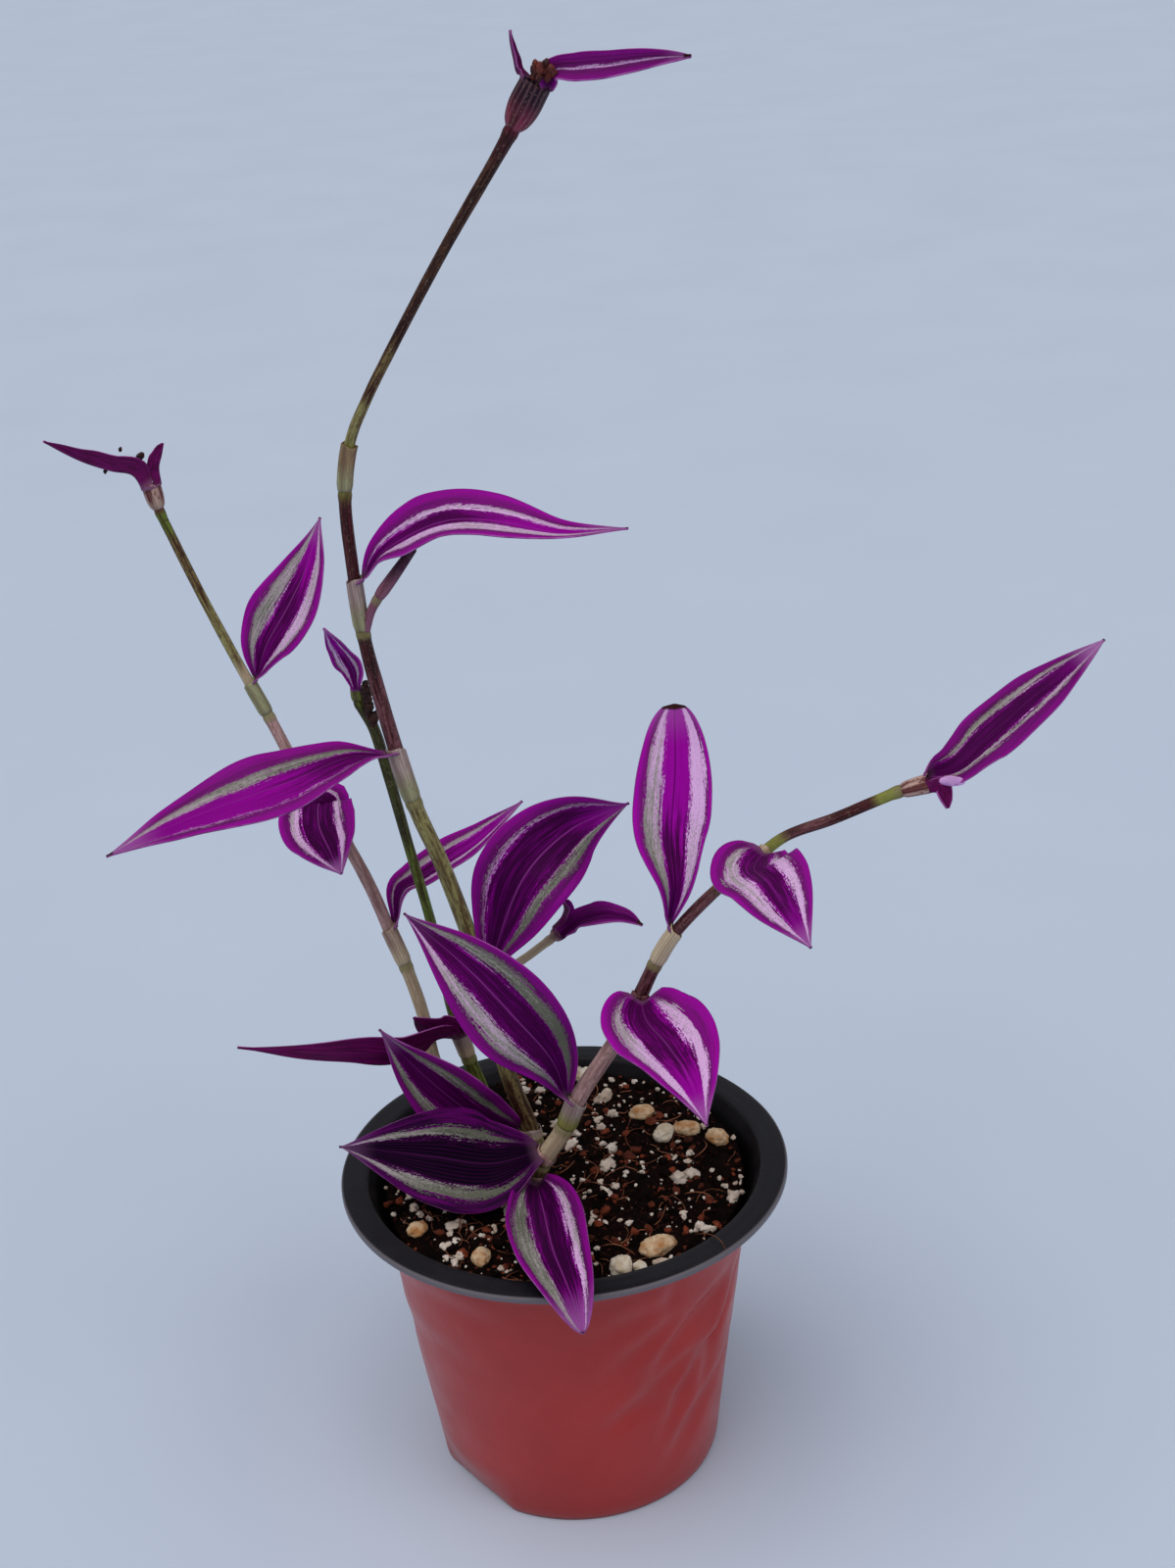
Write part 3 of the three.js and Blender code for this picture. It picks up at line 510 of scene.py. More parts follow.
# Stems from below the soil to the tip: points, radii, joints where leaf sheaths start, and a tone a stretch.
stems = {
    "tall": dict(
        points=[
            (-6, 11, 62), (-8, 12, 89), (-14, 13, 111), (-17.7, 14, 136), (-21, 15, 151), (-27.2, 16, 174),
            (-32.9, 17.5, 190.5), (-40.3, 21, 225), (-42, 22, 236), (-43, 22, 253), (-43.1, 22, 272.5),
            (-40.5, 22, 285.5), (-35.5, 20, 296), (-27.3, 18, 310), (-13, 14, 333), (-0.4, 10, 352),
            (3.5, 9.5, 358), (8.3, 8, 366),
        ],
        radii=[2.4, 2.4, 2.3, 2.3, 2.2, 2.1, 2.05, 1.85, 1.7, 1.55, 1.6, 1.35, 1.3, 1.3, 1.32, 1.5,
               1.75, 1.3],
        joints=[1, 3, 6, 8, 10, 16],
        nodes=[1, 3, 6, 8],
        tones=["mottled", "mottled", "olive", "olive", "olive", "olive", "maroon", "dusk", "wine", "wine",
               "lime", "olive", "mottled", "dark", "dark", "dusk", "goblet"],
    ),
    "back": dict(
        points=[
            (-20, 36, 64), (-22, 37, 87), (-25.8, 38, 101), (-28.8, 38, 115), (-32.8, 37, 145),
            (-37, 36, 170), (-40.4, 35, 191), (-43, 34.3, 205), (-45.8, 34, 212.5), (-46.4, 34, 218),
        ],
        radii=[2.1, 2.1, 2, 1.7, 1.4, 1.4, 1.5, 1.5, 1.6, 1.1],
        joints=[2, 8],
        nodes=[2],
        tones=["moss", "moss", "moss", "moss", "moss", "pine", "pine", "pine", "moss"],
    ),
    "front": dict(
        points=[
            (-9, -4, 62), (-8, -5, 87), (-6, -6, 93.5), (1, -7, 105), (5.3, -8, 115), (15.8, -9, 132),
            (21, -10, 142), (26.7, -11, 154.7), (31.5, -12, 163.3), (43, -12, 175.5), (52.4, -13, 183.6),
            (60, -13, 189.4), (72, -13, 193.5), (82.5, -14, 198.2), (87.8, -14.7, 200.6), (95, -16, 203),
        ],
        radii=[2.6, 2.6, 2.5, 2.4, 2.25, 2.1, 2, 1.8, 1.6, 1.5, 1.5, 1.35, 1.4, 1.4, 1.5, 1.2],
        joints=[1, 2, 3, 6, 7, 10, 14],
        nodes=[1, 2, 3, 6, 7, 10, 14],
        tones=["mottled", "mottled", "beige", "rose", "rose", "maroon", "maroon", "maroon", "maroon",
               "mottled", "lime", "maroon", "wine", "lime", "goblet"],
    ),
    "left": dict(
        points=[
            (-29, 26, 62), (-31, 28, 86), (-35.3, 31, 107), (-37, 33, 118.5), (-40.8, 36, 132.6),
            (-44.2, 38, 142), (-48.8, 41, 155), (-54.8, 44, 168), (-61, 46, 178), (-67, 48, 191),
            (-72.5, 51, 203.2), (-78.9, 53.5, 217), (-87, 56.5, 236), (-93.6, 59, 253), (-95.9, 60, 259.2),
            (-97.2, 60, 266),
        ],
        radii=[2, 2, 1.85, 1.75, 1.8, 1.75, 1.7, 1.7, 1.65, 1.6, 1.55, 1.35, 1.25, 1.25, 1.3, 1.1],
        joints=[4, 7, 10, 14],
        nodes=[4, 7, 10],
        tones=["moss", "beige", "beige", "beige", "beige", "rose", "rose", "rose", "rose", "rose", "beige",
               "olive", "mottled", "moss", "goblet"],
    ),
}
shoots = {
    "low": dict(
        points=[(-17.5, 14, 135.5), (-12.4, 17, 139.5), (-6, 19, 143), (0, 20, 147), (4, 20, 150)],
        radii=[1.3, 1.2, 1.15, 1.2, 1], joints=[3], nodes=[],
        tones=["straw", "straw", "straw", "cream"],
    ),
    "high": dict(
        points=[(-41.9, 22, 235.5), (-39.6, 21, 241.5), (-37.4, 20, 245.5), (-33.4, 19.2, 250.8),
                (-27.2, 18.4, 258.8)],
        radii=[1.4, 1.15, 1.15, 1.1, 0.9], joints=[2], nodes=[2],
        tones=["mauve", "mauve", "mauve", "plum"],
    ),
}
routes = {name: Route(stem["points"], stem["radii"]) for name, stem in {**stems, **shoots}.items()}

stemShape = {"sides": 18, "step": 0.9, "swell": 0.12, "below": 2.2, "above": 0.9, "node": 1.8, "uvLength": 60}


def stemRadius(name, distance):
    # a stem swells just below each sheath
    route, stem = routes[name], {**stems, **shoots}[name]
    radius = route.at(distance)[3]
    bump = 0
    for joint in stem["joints"]:
        off = distance - route.atPoint(joint)
        rise = smooth(-stemShape["below"], -0.5, off) if off < 0 else smooth(stemShape["above"], 0.2, off)
        bump = max(bump, rise)
    return radius * (1 + stemShape["swell"] * bump)


def stemTube(name):
    route, stem = routes[name], {**stems, **shoots}[name]
    rows = round(route.length / stemShape["step"])

    def place(across, along):
        distance = along * route.length
        point, direction, side, _, _ = route.at(distance)
        ring = around(direction, side, across)
        radius = stemRadius(name, distance)
        radius *= 1 + 0.03 * ripple(point + ring * radius, 6, 2) + 0.012 * cos(14 * pi * across)
        return point + ring * radius

    def tone(across, along):
        # one tone a stretch, with a pale ring just below each node
        distance = along * route.length
        spot = route.at(distance)[4]
        names = stem["tones"]
        k = min(int(spot + 0.5), len(names) - 1)
        before, after = Vector(tones[names[max(k - 1, 0)]]), Vector(tones[names[k]])
        colour = mix(before, after, smooth(-0.2, 0.2, spot - k))
        for joint in stem["nodes"]:
            off = distance - route.atPoint(joint)
            node = smooth(-stemShape["node"], -0.4 * stemShape["node"], off) * smooth(3, 1.5, off)
            colour = mix(colour, Vector(tones["ring"]), 0.75 * node)
        return colour

    def tubeUv(across, along):
        return across, along * route.length / stemShape["uvLength"]

    bm = gridShape(stemShape["sides"], rows, place, tubeUv, tone, closed=True)
    bmesh.ops.holes_fill(bm, edges=bm.edges, sides=0)
    return bm


for name in stems:
    bm = stemTube(name)
    if name == "tall":
        for shoot in shoots:
            joinInto(bm, stemTube(shoot))
    finishPiece(bm, "stem_" + name + "_fine", [stemSkin], ["stem_" + name])
print("stems grown")

# Leaves: on and joint say where the sheath starts, sheath is its length and rib the midrib from base to tip.
# Outline is the blade's width, where it is widest, and how its base and its tip narrow.
# In a look, left and right are each half's silver stripe: its inner edge, outer edge and paleness. Centre is
# how far the dark middle runs, how dark it is and how bright the magenta round it is.
leaves = {
    "leaf_tall_1": dict(
        on="tall", joint=1, sheath=4.5, sheathTones=("beige", "papery"),
        outline=(20, 0.4, 0.7, 1.25), face=(-0.35, -0.8, 0.45), cup=13,
        rib=[(-22, 9, 99), (-32, 9, 109), (-40, 10, 118), (-47, 10, 128)],
        look=dict(left=(0.5, 0.72, 0.2), right=(0.45, 0.68, 0.1), centre=(0.9, 0.45, 0.35), midrib=0.3),
    ),
    "leaf_tall_2": dict(
        on="tall", joint=3, sheath=7, sheathTones=("lime", "pink"),
        outline=(26, 0.48, 1.1, 1.2), face=(-0.4, -0.9, 0.2), neck=0.15, cup=13, twist=14,
        rib=[(-13, 13, 153), (-5, 14, 170), (7, 22, 178), (23, 32, 180)],
        look=dict(left=(0.62, 0.68, 0.7), right=(0.46, 0.68, 0.2), centre=(0.75, 0.55, 0.6), turn=0.2,
                  tip=0.1),
    ),
    "leaf_tall_3": dict(
        on="tall", joint=6, sheath=15, sheathTones=("sage", "papery"),
        outline=(21, 0.45, 1.7, 1.1), face=(-0.35, -0.65, 0.65), neck=0.12, cup=10, twist=18,
        rib=[(-47, 6, 209), (-63, -6, 208), (-85, -14, 204), (-105, -20, 198)],
        look=dict(dried=0.972, left=(0.64, 0.69, 0.7), right=(0.3, 0.54, 0.3), centre=(0.3, 0.3, 0.6),
                  turn=0.5, tip=0.5, midrib=0.2),
    ),
    "leaf_tall_4": dict(
        on="tall", joint=8, sheath=14.4, sheathTones=("sage", "papery"),
        outline=(18, 0.32, 1.4, 1.1), face=(-0.25, -0.6, 0.8), neck=0.12, cup=17, twist=-28,
        rib=[(-34.8, 19, 258), (-19, 12.5, 267), (-8, 7, 268.3),
             (9, 1, 266.2), (25.2, -4, 268)],
        look=dict(left=(0.34, 0.5, 0.8), right=(0.2, 0.62, 0.75), centre=(0.5, 0.3, 0.8), turn=-0.1),
    ),
    "leaf_front_1": dict(
        on="front", joint=1, sheath=3.4, sheathTones=("olive", "rose"),
        outline=(21, 0.42, 0.7, 0.62), face=(-0.1, -0.3, 0.95), heart=0.1, cup=18,
        rib=[(-5.5, -26, 92.5), (-3, -46, 94), (1, -62, 92.5), (3.5, -72, 88.5)],
        look=dict(left=(0.54, 0.7, 0.75), right=(0.44, 0.8, 0.2), centre=(0.8, 0.7, 0.5)),
    ),
    "leaf_front_2": dict(
        on="front", joint=2, sheath=4, sheathTones=("olive", "rose"),
        outline=(28, 0.38, 0.75, 1.2), face=(0, -0.6, 0.8), cup=8, twist=-18,
        rib=[(-19, -10, 97), (-33, -13, 102), (-48, -14, 106), (-58, -13, 107)],
        # this low leaf's centre runs dark all the way, at full depth and with no magenta glow: partly its own
        # dark colour and partly painted shade
        look=dict(left=(0.54, 0.76, 0.15), right=(0.44, 0.62, 0.15), centre=(1.0, 1.0, 0.0), turn=0.8,
                  midrib=0.1, tip=0.2),
    ),
    "leaf_front_3": dict(
        on="front", joint=3, sheath=10, sheathTones=("lime", "papery"),
        outline=(24, 0.47, 1.2, 1.2), face=(0.1, -0.94, 0.3), neck=0.1, cup=13, twist=-8,
        rib=[(-1, -11, 128), (-10, -13, 143), (-21.4, -11, 157.4), (-36.3, -3, 169.1)],
        look=dict(left=(0.42, 0.72, 0.5), right=(0.46, 0.74, 0.1), centre=(0.95, 0.5, 0.5), turn=0.6,
                  tip=0.1),
    ),
    "leaf_front_4": dict(
        on="front", joint=6, sheath=4.5, sheathTones=("rose", "maroon"),
        outline=(27, 0.38, 0.6, 1.2), face=(0, -0.35, 0.95), heart=0.25, cup=16,
        rib=[(23.5, -22, 145), (29, -34, 143), (33, -46, 141), (36, -56, 135)],
        look=dict(left=(0.38, 0.62, 1.0), right=(0.5, 0.76, 0.75), centre=(0.6, 0.35, 0.95), turn=0.8,
                  midrib=0.3, tip=0.5),
    ),
    "leaf_front_5": dict(
        on="front", joint=7, sheath=11.5, sheathTones=("straw", "straw"),
        outline=(21, 0.52, 1.6, 0.42), face=(0, -0.94, 0.33), neck=0.1, cup=22, twist=-10,
        rib=[(32.5, -11, 176), (32.4, -3, 187), (34.4, 6, 200), (35.4, 17, 214)],
        look=dict(dried=0.968, left=(0.34, 0.72, 0.5), right=(0.46, 0.84, 0.95),
                  centre=(0.42, 0.35, 1.0), turn=0.8, midrib=-0.6, tip=0.2),
    ),
    "leaf_front_6": dict(
        on="front", joint=10, sheath=4, sheathTones=("lime", "beige"),
        outline=(22.5, 0.38, 0.5, 1.1), face=(-0.1, -0.4, 0.9), heart=0.05, cup=9, waves=(2.5, 0.3),
        rib=[(51.3, -24, 186.6), (54.2, -35, 187.6), (58.2, -42, 182.6), (62.2, -49, 177.6)],
        look=dict(left=(0.42, 0.66, 0.85), right=(0.36, 0.72, 0.7), centre=(0.7, 0.4, 0.7), turn=0.4,
                  midrib=0.2, tip=0.5),
    ),
    "leaf_left_1": dict(
        on="left", joint=4, sheath=12, sheathTones=("straw", "cream"),
        outline=(14, 0.4, 1.6, 1.1), face=(-0.55, -0.5, 0.7), cup=20,
        rib=[(-40.5, 42, 153), (-36, 45.5, 154.2), (-27.5, 51, 157.2),
             (-18, 56, 161.5), (-6.3, 61, 169.3)],
        look=dict(left=(0.45, 0.65, 0.5), right=(0.4, 0.6, 0.8), centre=(0.5, 0.3, 0.8), turn=0.2),
    ),
    "leaf_left_2": dict(
        on="left", joint=7, sheath=8, sheathTones=("rose", "rose"),
        outline=(21, 0.45, 0.6, 1), face=(-0.05, -0.6, 0.8), claspRun=1.7, cup=12,
        rib=[(-60, 39, 182), (-60, 33, 179), (-57, 24, 176), (-53, 14, 173)],
        look=dict(left=(0.44, 0.62, 0.85), right=(0.5, 0.7, 0.8), centre=(0.9, 0.6, 0.7), tip=0.6),
    ),
    "leaf_left_3": dict(
        on="left", joint=10, sheath=10.5, sheathTones=("sage", "sage"),
        outline=(19.5, 0.38, 1.2, 1.15), face=(-0.3, -0.88, 0.4), neck=0.1, cup=16,
        rib=[(-71.5, 54, 222), (-64, 58, 233), (-59, 62, 242), (-55, 67, 253)],
        look=dict(left=(0.34, 0.68, 0.4), right=(0.45, 0.74, 0.7), centre=(0.6, 0.4, 0.75), turn=0.2,
                  tip=0.4),
    ),
    "leaf_back_2": dict(
        on="back", joint=8, sheath=4.4, sheathTones=("moss", "moss"),
        outline=(8.6, 0.42, 1.3, 1.05), face=(-0.5, -0.85, 0.1), neck=0.2, cup=12,
        rib=[(-46.6, 32, 222), (-48.4, 31, 227), (-50.3, 29, 231.5), (-52.4, 27, 235.9)],
        look=dict(left=(0.4, 0.68, 0.75), right=(0.35, 0.6, 0.6), centre=(0.5, 0.2, 0.75), tip=0.6),
    ),
    "bracts_tall": dict(
        # the sheath runs from throat red to near-black ink at its top: partly its own dark wine colour and
        # partly painted shadow at its lip under the buds
        on="tall", joint=16, sheath=12.5, flare=2, belly=1.3, sheathTones=("throat", "ink"),
        look=dict(left=(0.05, 0.2, 0.95), right=(0.02, 0.06, 0.1), centre=(0.5, 0.25, 0.35), turn=0.1,
                  dried=0.95),
        blades=[
            dict(outline=(7.2, 0.35, 0.5, 0.8), face=(0.05, -0.86, 0.5), neck=0.32, claspRun=1.2,
                 cup=30,
                 rib=[(13.6, 5.6, 370.6), (19, 4, 371.1), (24.8, 2.2, 371.5), (31, 0.3, 372.3),
                      (36.5, -1.8, 373.1), (43.6, -4.4, 373.7)]),
            dict(outline=(3.8, 0.15, 0.7, 1.0), face=(1, -0.3, 0.1), neck=0.8, claspRun=1.5, cup=30,
                 plain=True,
                 rib=[(6, 10, 370.4), (5.4, 10.3, 373.6), (4.9, 10.7, 377), (4.8, 11, 379.6)]),
        ],
    ),
    "bracts_front": dict(
        on="front", joint=14, sheath=7.4, flare=0.9, belly=0.2, sheathTones=("blush", "blush"),
        look=dict(left=(0.44, 0.62, 0.4), right=(0.4, 0.56, 0.5), centre=(0.75, 0.5, 0.4), tip=0.8,
                  midrib=0.1),
        blades=[
            dict(outline=(16.5, 0.42, 0.8, 1.0), face=(-0.7, -0.55, 0.4), cup=4,
                 rib=[(101.6, -15.5, 207.2), (108.5, -12.5, 212), (117.6, -8.5, 217.6),
                      (128.8, -4, 224.6), (140, 0, 231.5)]),
            dict(outline=(4.6, 0.45, 0.6, 0.7), face=(0.2, -0.6, 0.6), cup=34, plain=True,
                 rib=[(97, -18.5, 203), (98, -20, 200.5), (98.6, -21.5, 198.6)]),
        ],
    ),
    "bracts_left": dict(
        on="left", joint=14, sheath=7.5, flare=1.0, belly=0.5, sheathTones=("cream", "blush"),
        look=dict(left=(0.45, 0.46, 0.1), right=(0.45, 0.46, 0.1), centre=(1.0, 0.55, 0.45), tip=0.8),
        blades=[
            dict(outline=(9.5, 0.25, 0.5, 1.0), face=(0, 0.35, 0.95), cup=50,
                 rib=[(-101, 57, 270.5), (-106, 55, 272.6), (-112.5, 51.5, 276.6), (-120, 46, 283.6)]),
            dict(outline=(6, 0.4, 0.6, 0.5), face=(-1, 0.2, 0), cup=55,
                 rib=[(-95, 61, 271), (-94, 61.5, 274), (-93.2, 62, 277)]),
        ],
    ),
    "bracts_low_shoot": dict(
        on="low", joint=3, sheath=3.2, flare=0.7, belly=0.2, sheathTones=("cream", "mauve"),
        look=dict(left=(0.45, 0.47, 0.2), right=(0.45, 0.47, 0.2), centre=(1.0, 0.35, 0.5), tip=0.0,
                  dried=0.93),
        blades=[
            dict(outline=(9.5, 0.4, 0.6, 0.95), face=(-0.1, -0.3, 0.95), cup=22,
                 rib=[(7.7, 18, 152.3), (11.7, 16, 154.6), (15.5, 14, 156),
                      (20.6, 12, 156.2), (24.5, 10, 155)]),
            dict(outline=(6, 0.5, 0.6, 0.7), face=(0.9, -0.3, 0.1), cup=45,
                 rib=[(3.6, 22, 152.5), (4.4, 23, 154.5), (3.8, 23.5, 157)]),
        ],
    ),
    "leaf_back_1": dict(
        on="back", joint=2, sheath=9, flare=0.6, sheathTones=("beige", "papery"),
        look=dict(left=(0.4, 0.6, 0.2), right=(0.4, 0.6, 0.2), centre=(0.8, 0.5, 0.5)),
        blades=[
            dict(outline=(11, 0.35, 1.2, 1.5), face=(-0.2, 0.8, 0.55), cup=7, twist=30,
                 rib=[(-32.5, 24, 116.6), (-43, 18, 116), (-54, 14.5, 119.2),
                      (-67, 12, 121.2), (-85, 9, 125.8)]),
            dict(outline=(13, 0.45, 0.7, 1.0), face=(0.1, 0.9, 0.3), cup=8,
                 rib=[(-30, 27, 116), (-34.5, 25.5, 118.8), (-38.8, 23.5, 123.6)]),
        ],
    ),
}

bladeShape = {
    "columns": 32, "rowStep": 0.9, "neck": 0.22, "leastHalf": 0.3, "baseFold": 22, "unfoldBy": 0.25,
    "thickness": 0.42, "soften": 0.14, "arch": 0.1, "pleat": 0.07, "claspRun": 3.4, "claspAngle": 60,
    "pairAngle": 75, "grip": 0.85, "climb": 0.6, "lift": 0.12,
}
sleeve = {"wall": 0.24, "step": 0.7, "bulge": 0.05, "flare": 0.14, "bladeDrop": 0.6, "sides": 40, "ribs": 14}


def halfAt(leaf, t):
    # from base (0) to tip (1)
    width, widest, shoulder, taper = leaf["outline"]
    if t < widest:
        neck = leaf.get("neck", bladeShape["neck"])
        share = neck + (1 - neck) * sin(pi / 2 * t / widest) ** shoulder
    else:
        share = max(cos(pi / 2 * (t - widest) / (1 - widest)), 0) ** taper
    return max(width / 2 * share, bladeShape["leastHalf"])


def bladeGrid(leaf, stemName, sheathEnd, alone, seed, flare):
    stemRoute = routes[stemName]
    foot, stemWay, _, stemR, _ = stemRoute.at(sheathEnd - sleeve["bladeDrop"])
    firstRib = Vector(leaf["rib"][0])
    outward = firstRib - foot
    outward = (outward - stemWay * outward.dot(stemWay)).normalized()
    ring = stemR + gap + sleeve["wall"] / 2 + bladeShape["grip"] * flare
    route = Route([foot + outward * ring] + leaf["rib"])
    face = Vector(leaf["face"])
    waveCount, waveHeight = leaf.get("waves", (3, 0.35))
    claspAngle = radians(bladeShape["claspAngle" if alone else "pairAngle"])
    rows = max(14, round(route.length / bladeShape["rowStep"]))
    claspRun = leaf.get("claspRun", bladeShape["claspRun"] * (0.5 if "heart" in leaf else 1))

    def place(across, along):
        u = 2 * across - 1
        point, direction, _, _, _ = route.at(along * route.length)
        normal = (face - direction * face.dot(direction)).normalized()
        normal = Quaternion(direction, radians(leaf.get("twist", 0) * along)) @ normal
        side = direction.cross(normal)
        half = halfAt(leaf, along)
        cup = leaf["cup"]
        fold = radians(mix(cup + bladeShape["baseFold"], cup, min(along / bladeShape["unfoldBy"], 1)))
        soften = bladeShape["soften"]
        valley = (sqrt(u * u + soften * soften) - soften) / (sqrt(1 + soften * soften) - soften)
        rise = sin(fold) * half * valley
        rise += bladeShape["arch"] * half * abs(u) * (1 - abs(u))
        ends = smooth(0, 0.15, along) * smooth(1, 0.8, along)
        rise += bladeShape["pleat"] * cos(2 * pi * 4 * abs(u)) * ends
        edge = abs(u) ** 3 * ends * half / 10
        rise += waveHeight * edge * sin(2 * pi * waveCount * along + seed + 2 * (u > 0))
        rise += 0.35 * ends * half / 10 * ripple(point + side * u * half, 9, seed)
        lobe = leaf.get("heart", 0) * half * abs(u) ** 1.6 * (1 - along) ** 2
        blade = point + side * u * half * cos(fold) + normal * rise - direction * lobe
        run = along * route.length
        if run > claspRun:
            return blade
        centre, way, _, radius, _ = stemRoute.at(sheathEnd - sleeve["bladeDrop"] + bladeShape["climb"] * run)
        away = firstRib - centre
        away = (away - way * away.dot(way)).normalized()
        sideways = way.cross(away)
        if sideways.dot(side) < 0:
            sideways = -sideways
        reach = radius + gap + sleeve["wall"] / 2 + bladeShape["grip"] * flare + bladeShape["lift"] * run
        turn = u * mix(claspAngle, min(half / reach, claspAngle), smooth(0, claspRun, run))
        clasp = centre + away * reach * cos(turn) + sideways * reach * sin(turn)
        return mix(clasp, blade, smooth(0, claspRun, run))

    return gridShape(bladeShape["columns"], rows, place)


def thicken(bm, thickness):
    # gives a blade its lower face on slot 1 and its edge on slot 2
    bm.normal_update()
    upper = set(bm.faces)
    made = bmesh.ops.extrude_face_region(bm, geom=bm.faces[:], use_keep_orig=True)["geom"]
    lower = {item for item in made if isinstance(item, bmesh.types.BMFace)}
    for item in made:
        if isinstance(item, bmesh.types.BMVert):
            item.co -= item.normal * thickness
    for face in bm.faces:
        face.material_index = 0 if face in upper else 1 if face in lower else 2
    bmesh.ops.recalc_face_normals(bm, faces=bm.faces)


def sheathTube(stemName, joint, length, toneNames, flare, belly=0, lean=None):
    # a ribbed sleeve round the stem, closed over its lip; lean is the way its higher side faces
    route = routes[stemName]
    start = route.atPoint(joint) + stemShape["above"]
    run = route.atPoint(joint) + length - start
    rows = max(5, round(run / sleeve["step"]))
    outside = [(share / rows, 1.0) for share in range(rows + 1)]
    inside = [(1.0, 0.35), (0.8, 0.3), (0.4, 0.3), (0.0, 0.3), (0.0, 1.0)]
    stations = outside + inside
    low, high = Vector(tones[toneNames[0]]), Vector(tones[toneNames[1]])

    def station(along):
        return stations[round(along * (len(stations) - 1))]

    def place(across, along):
        share, wallShare = station(along)
        point, direction, side, _, _ = route.at(start + run * share)
        angle = 2 * pi * across
        ring = around(direction, side, across)
        higher = ring.dot(lean) if lean else 0
        bulge = sleeve["bulge"] * smooth(0, 0.15, share) * smooth(1, 0.6, share)
        foot = 1 - 0.75 * smooth(0.12, 0, share)
        ribs = 0.03 * cos(sleeve["ribs"] * angle + 2 * share) * smooth(0, 0.2, share)
        swollen = belly * sin(pi * share ** 0.8)
        thick = (sleeve["wall"] + ribs) * wallShare * foot + bulge + swollen + flare * share ** 1.6
        radius = stemRadius(stemName, start + run * share) + 0.5 * gap + thick
        lip = smooth(0.6, 1, share) * (0.9 * higher + 0.25 * sin(3 * angle + joint))
        return point + direction * lip + ring * radius

    def tone(across, along):
        share, _ = station(along)
        return mix(low, high, smooth(0.15, 0.75, share))

    def sheathUv(across, along):
        return across, station(along)[0] * run / stemShape["uvLength"]

    return gridShape(sleeve["sides"], len(stations) - 1, place, sheathUv, tone, closed=True)


for index, (name, leaf) in enumerate(leaves.items()):
    blades = leaf.get("blades", [leaf])
    route = routes[leaf["on"]]
    sheathEnd = route.atPoint(leaf["joint"]) + leaf["sheath"]
    flare, belly = leaf.get("flare", sleeve["flare"]), leaf.get("belly", 0)
    bm = bmesh.new()
    for number, blade in enumerate(blades):
        grid = bladeGrid(blade, leaf["on"], sheathEnd, len(blades) == 1, index + 3 * number, flare)
        thicken(grid, bladeShape["thickness"])
        if blade.get("plain"):
            for face in grid.faces:
                face.material_index = max(face.material_index, 1)
        joinInto(bm, grid)
    lean = (Vector(blades[0]["rib"][0]) - route.at(sheathEnd)[0]).normalized()
    sheath = sheathTube(leaf["on"], leaf["joint"], leaf["sheath"], leaf["sheathTones"], flare, belly, lean)
    joinInto(bm, sheath, 3)
    materials = [leafUpper(name + "_upper", leaf["look"], index * 1.37), underside, edgeSkin, sheathSkin]
    finishPiece(bm, name + "_fine", materials, [name])
print("leaves opened")

bareSheaths = {
    "sheath_tall": dict(on="tall", joint=10, length=12.5, flare=0.35, toneNames=("sage", "bark")),
    "sheath_high_shoot": dict(on="high", joint=2, length=16.3, flare=-0.2, toneNames=("mauve", "plum")),
}
for name, sheath in bareSheaths.items():
    bm = sheathTube(sheath["on"], sheath["joint"], sheath["length"], sheath["toneNames"], sheath["flare"])
    finishPiece(bm, name + "_fine", [sheathSkin], [name])
print("sheaths fitted")

# Pot: thin plastic, red outside and charcoal inside and on its flat rim.
pot = {
    "rimRadius": 60, "height": 90, "wall": 1, "baseRadius": 38.5, "floorRadius": 32, "heel": 1.5,
    "bodyTopRadius": 49.5, "bodyTopHeight": 81, "collarRadius": 52.4, "collarHeight": 86.5,
    "mouthRadius": 52.8, "lipDrop": 1.8, "sides": 176, "cornerHeight": 12, "flatAzimuths": (218, 38),
    "flatReach": 22, "drainRadius": 3, "drainCircle": 24, "drains": 6,
}

# soft creases pressed into the wall: azimuth, height, length, lean in degrees, depth and width
creases = [
    (290, 70, 30, 10, 0.6, 3.2), (300, 63, 28, 22, 1.1, 3.0), (311, 60, 36, 34, 1.5, 3.0),
    (305, 47, 32, 24, 1.1, 2.8), (319, 46, 36, 46, 1.7, 2.8), (331, 53, 32, 55, 1.5, 3.0),
    (327, 29, 28, 40, 1.1, 3.0), (293, 38, 24, 12, 0.7, 3.2), (315, 25, 22, 50, 1.0, 2.8),
    (341, 65, 30, 42, 1.2, 3.0), (303, 76, 16, 84, 0.8, 2.6), (226, 72, 30, 4, 0.6, 3.6),
    (206, 52, 34, 12, 0.6, 4.5), (120, 42, 34, 40, 1.0, 3.6), (70, 60, 26, 60, 0.9, 3.4),
    (160, 60, 28, 25, 0.7, 3.6),
]


def potRadius(z):
    return mix(pot["baseRadius"], pot["bodyTopRadius"], z / pot["bodyTopHeight"])


def cornerCut(x, y, z):
    # the bottom corner is cut back by two slanting flats
    radius = hypot(x, y)
    depth = 1 - z / pot["cornerHeight"]
    if radius < pot["drainCircle"] + 6 or depth <= 0:
        return 0
    reach = radians(pot["flatReach"])
    for azimuth in pot["flatAzimuths"]:
        off = abs((atan2(y, x) - radians(azimuth) + 3 * pi) % (2 * pi) - pi)
        if off < reach:
            return depth * radius * (1 - cos(reach) / cos(off))
    return 0


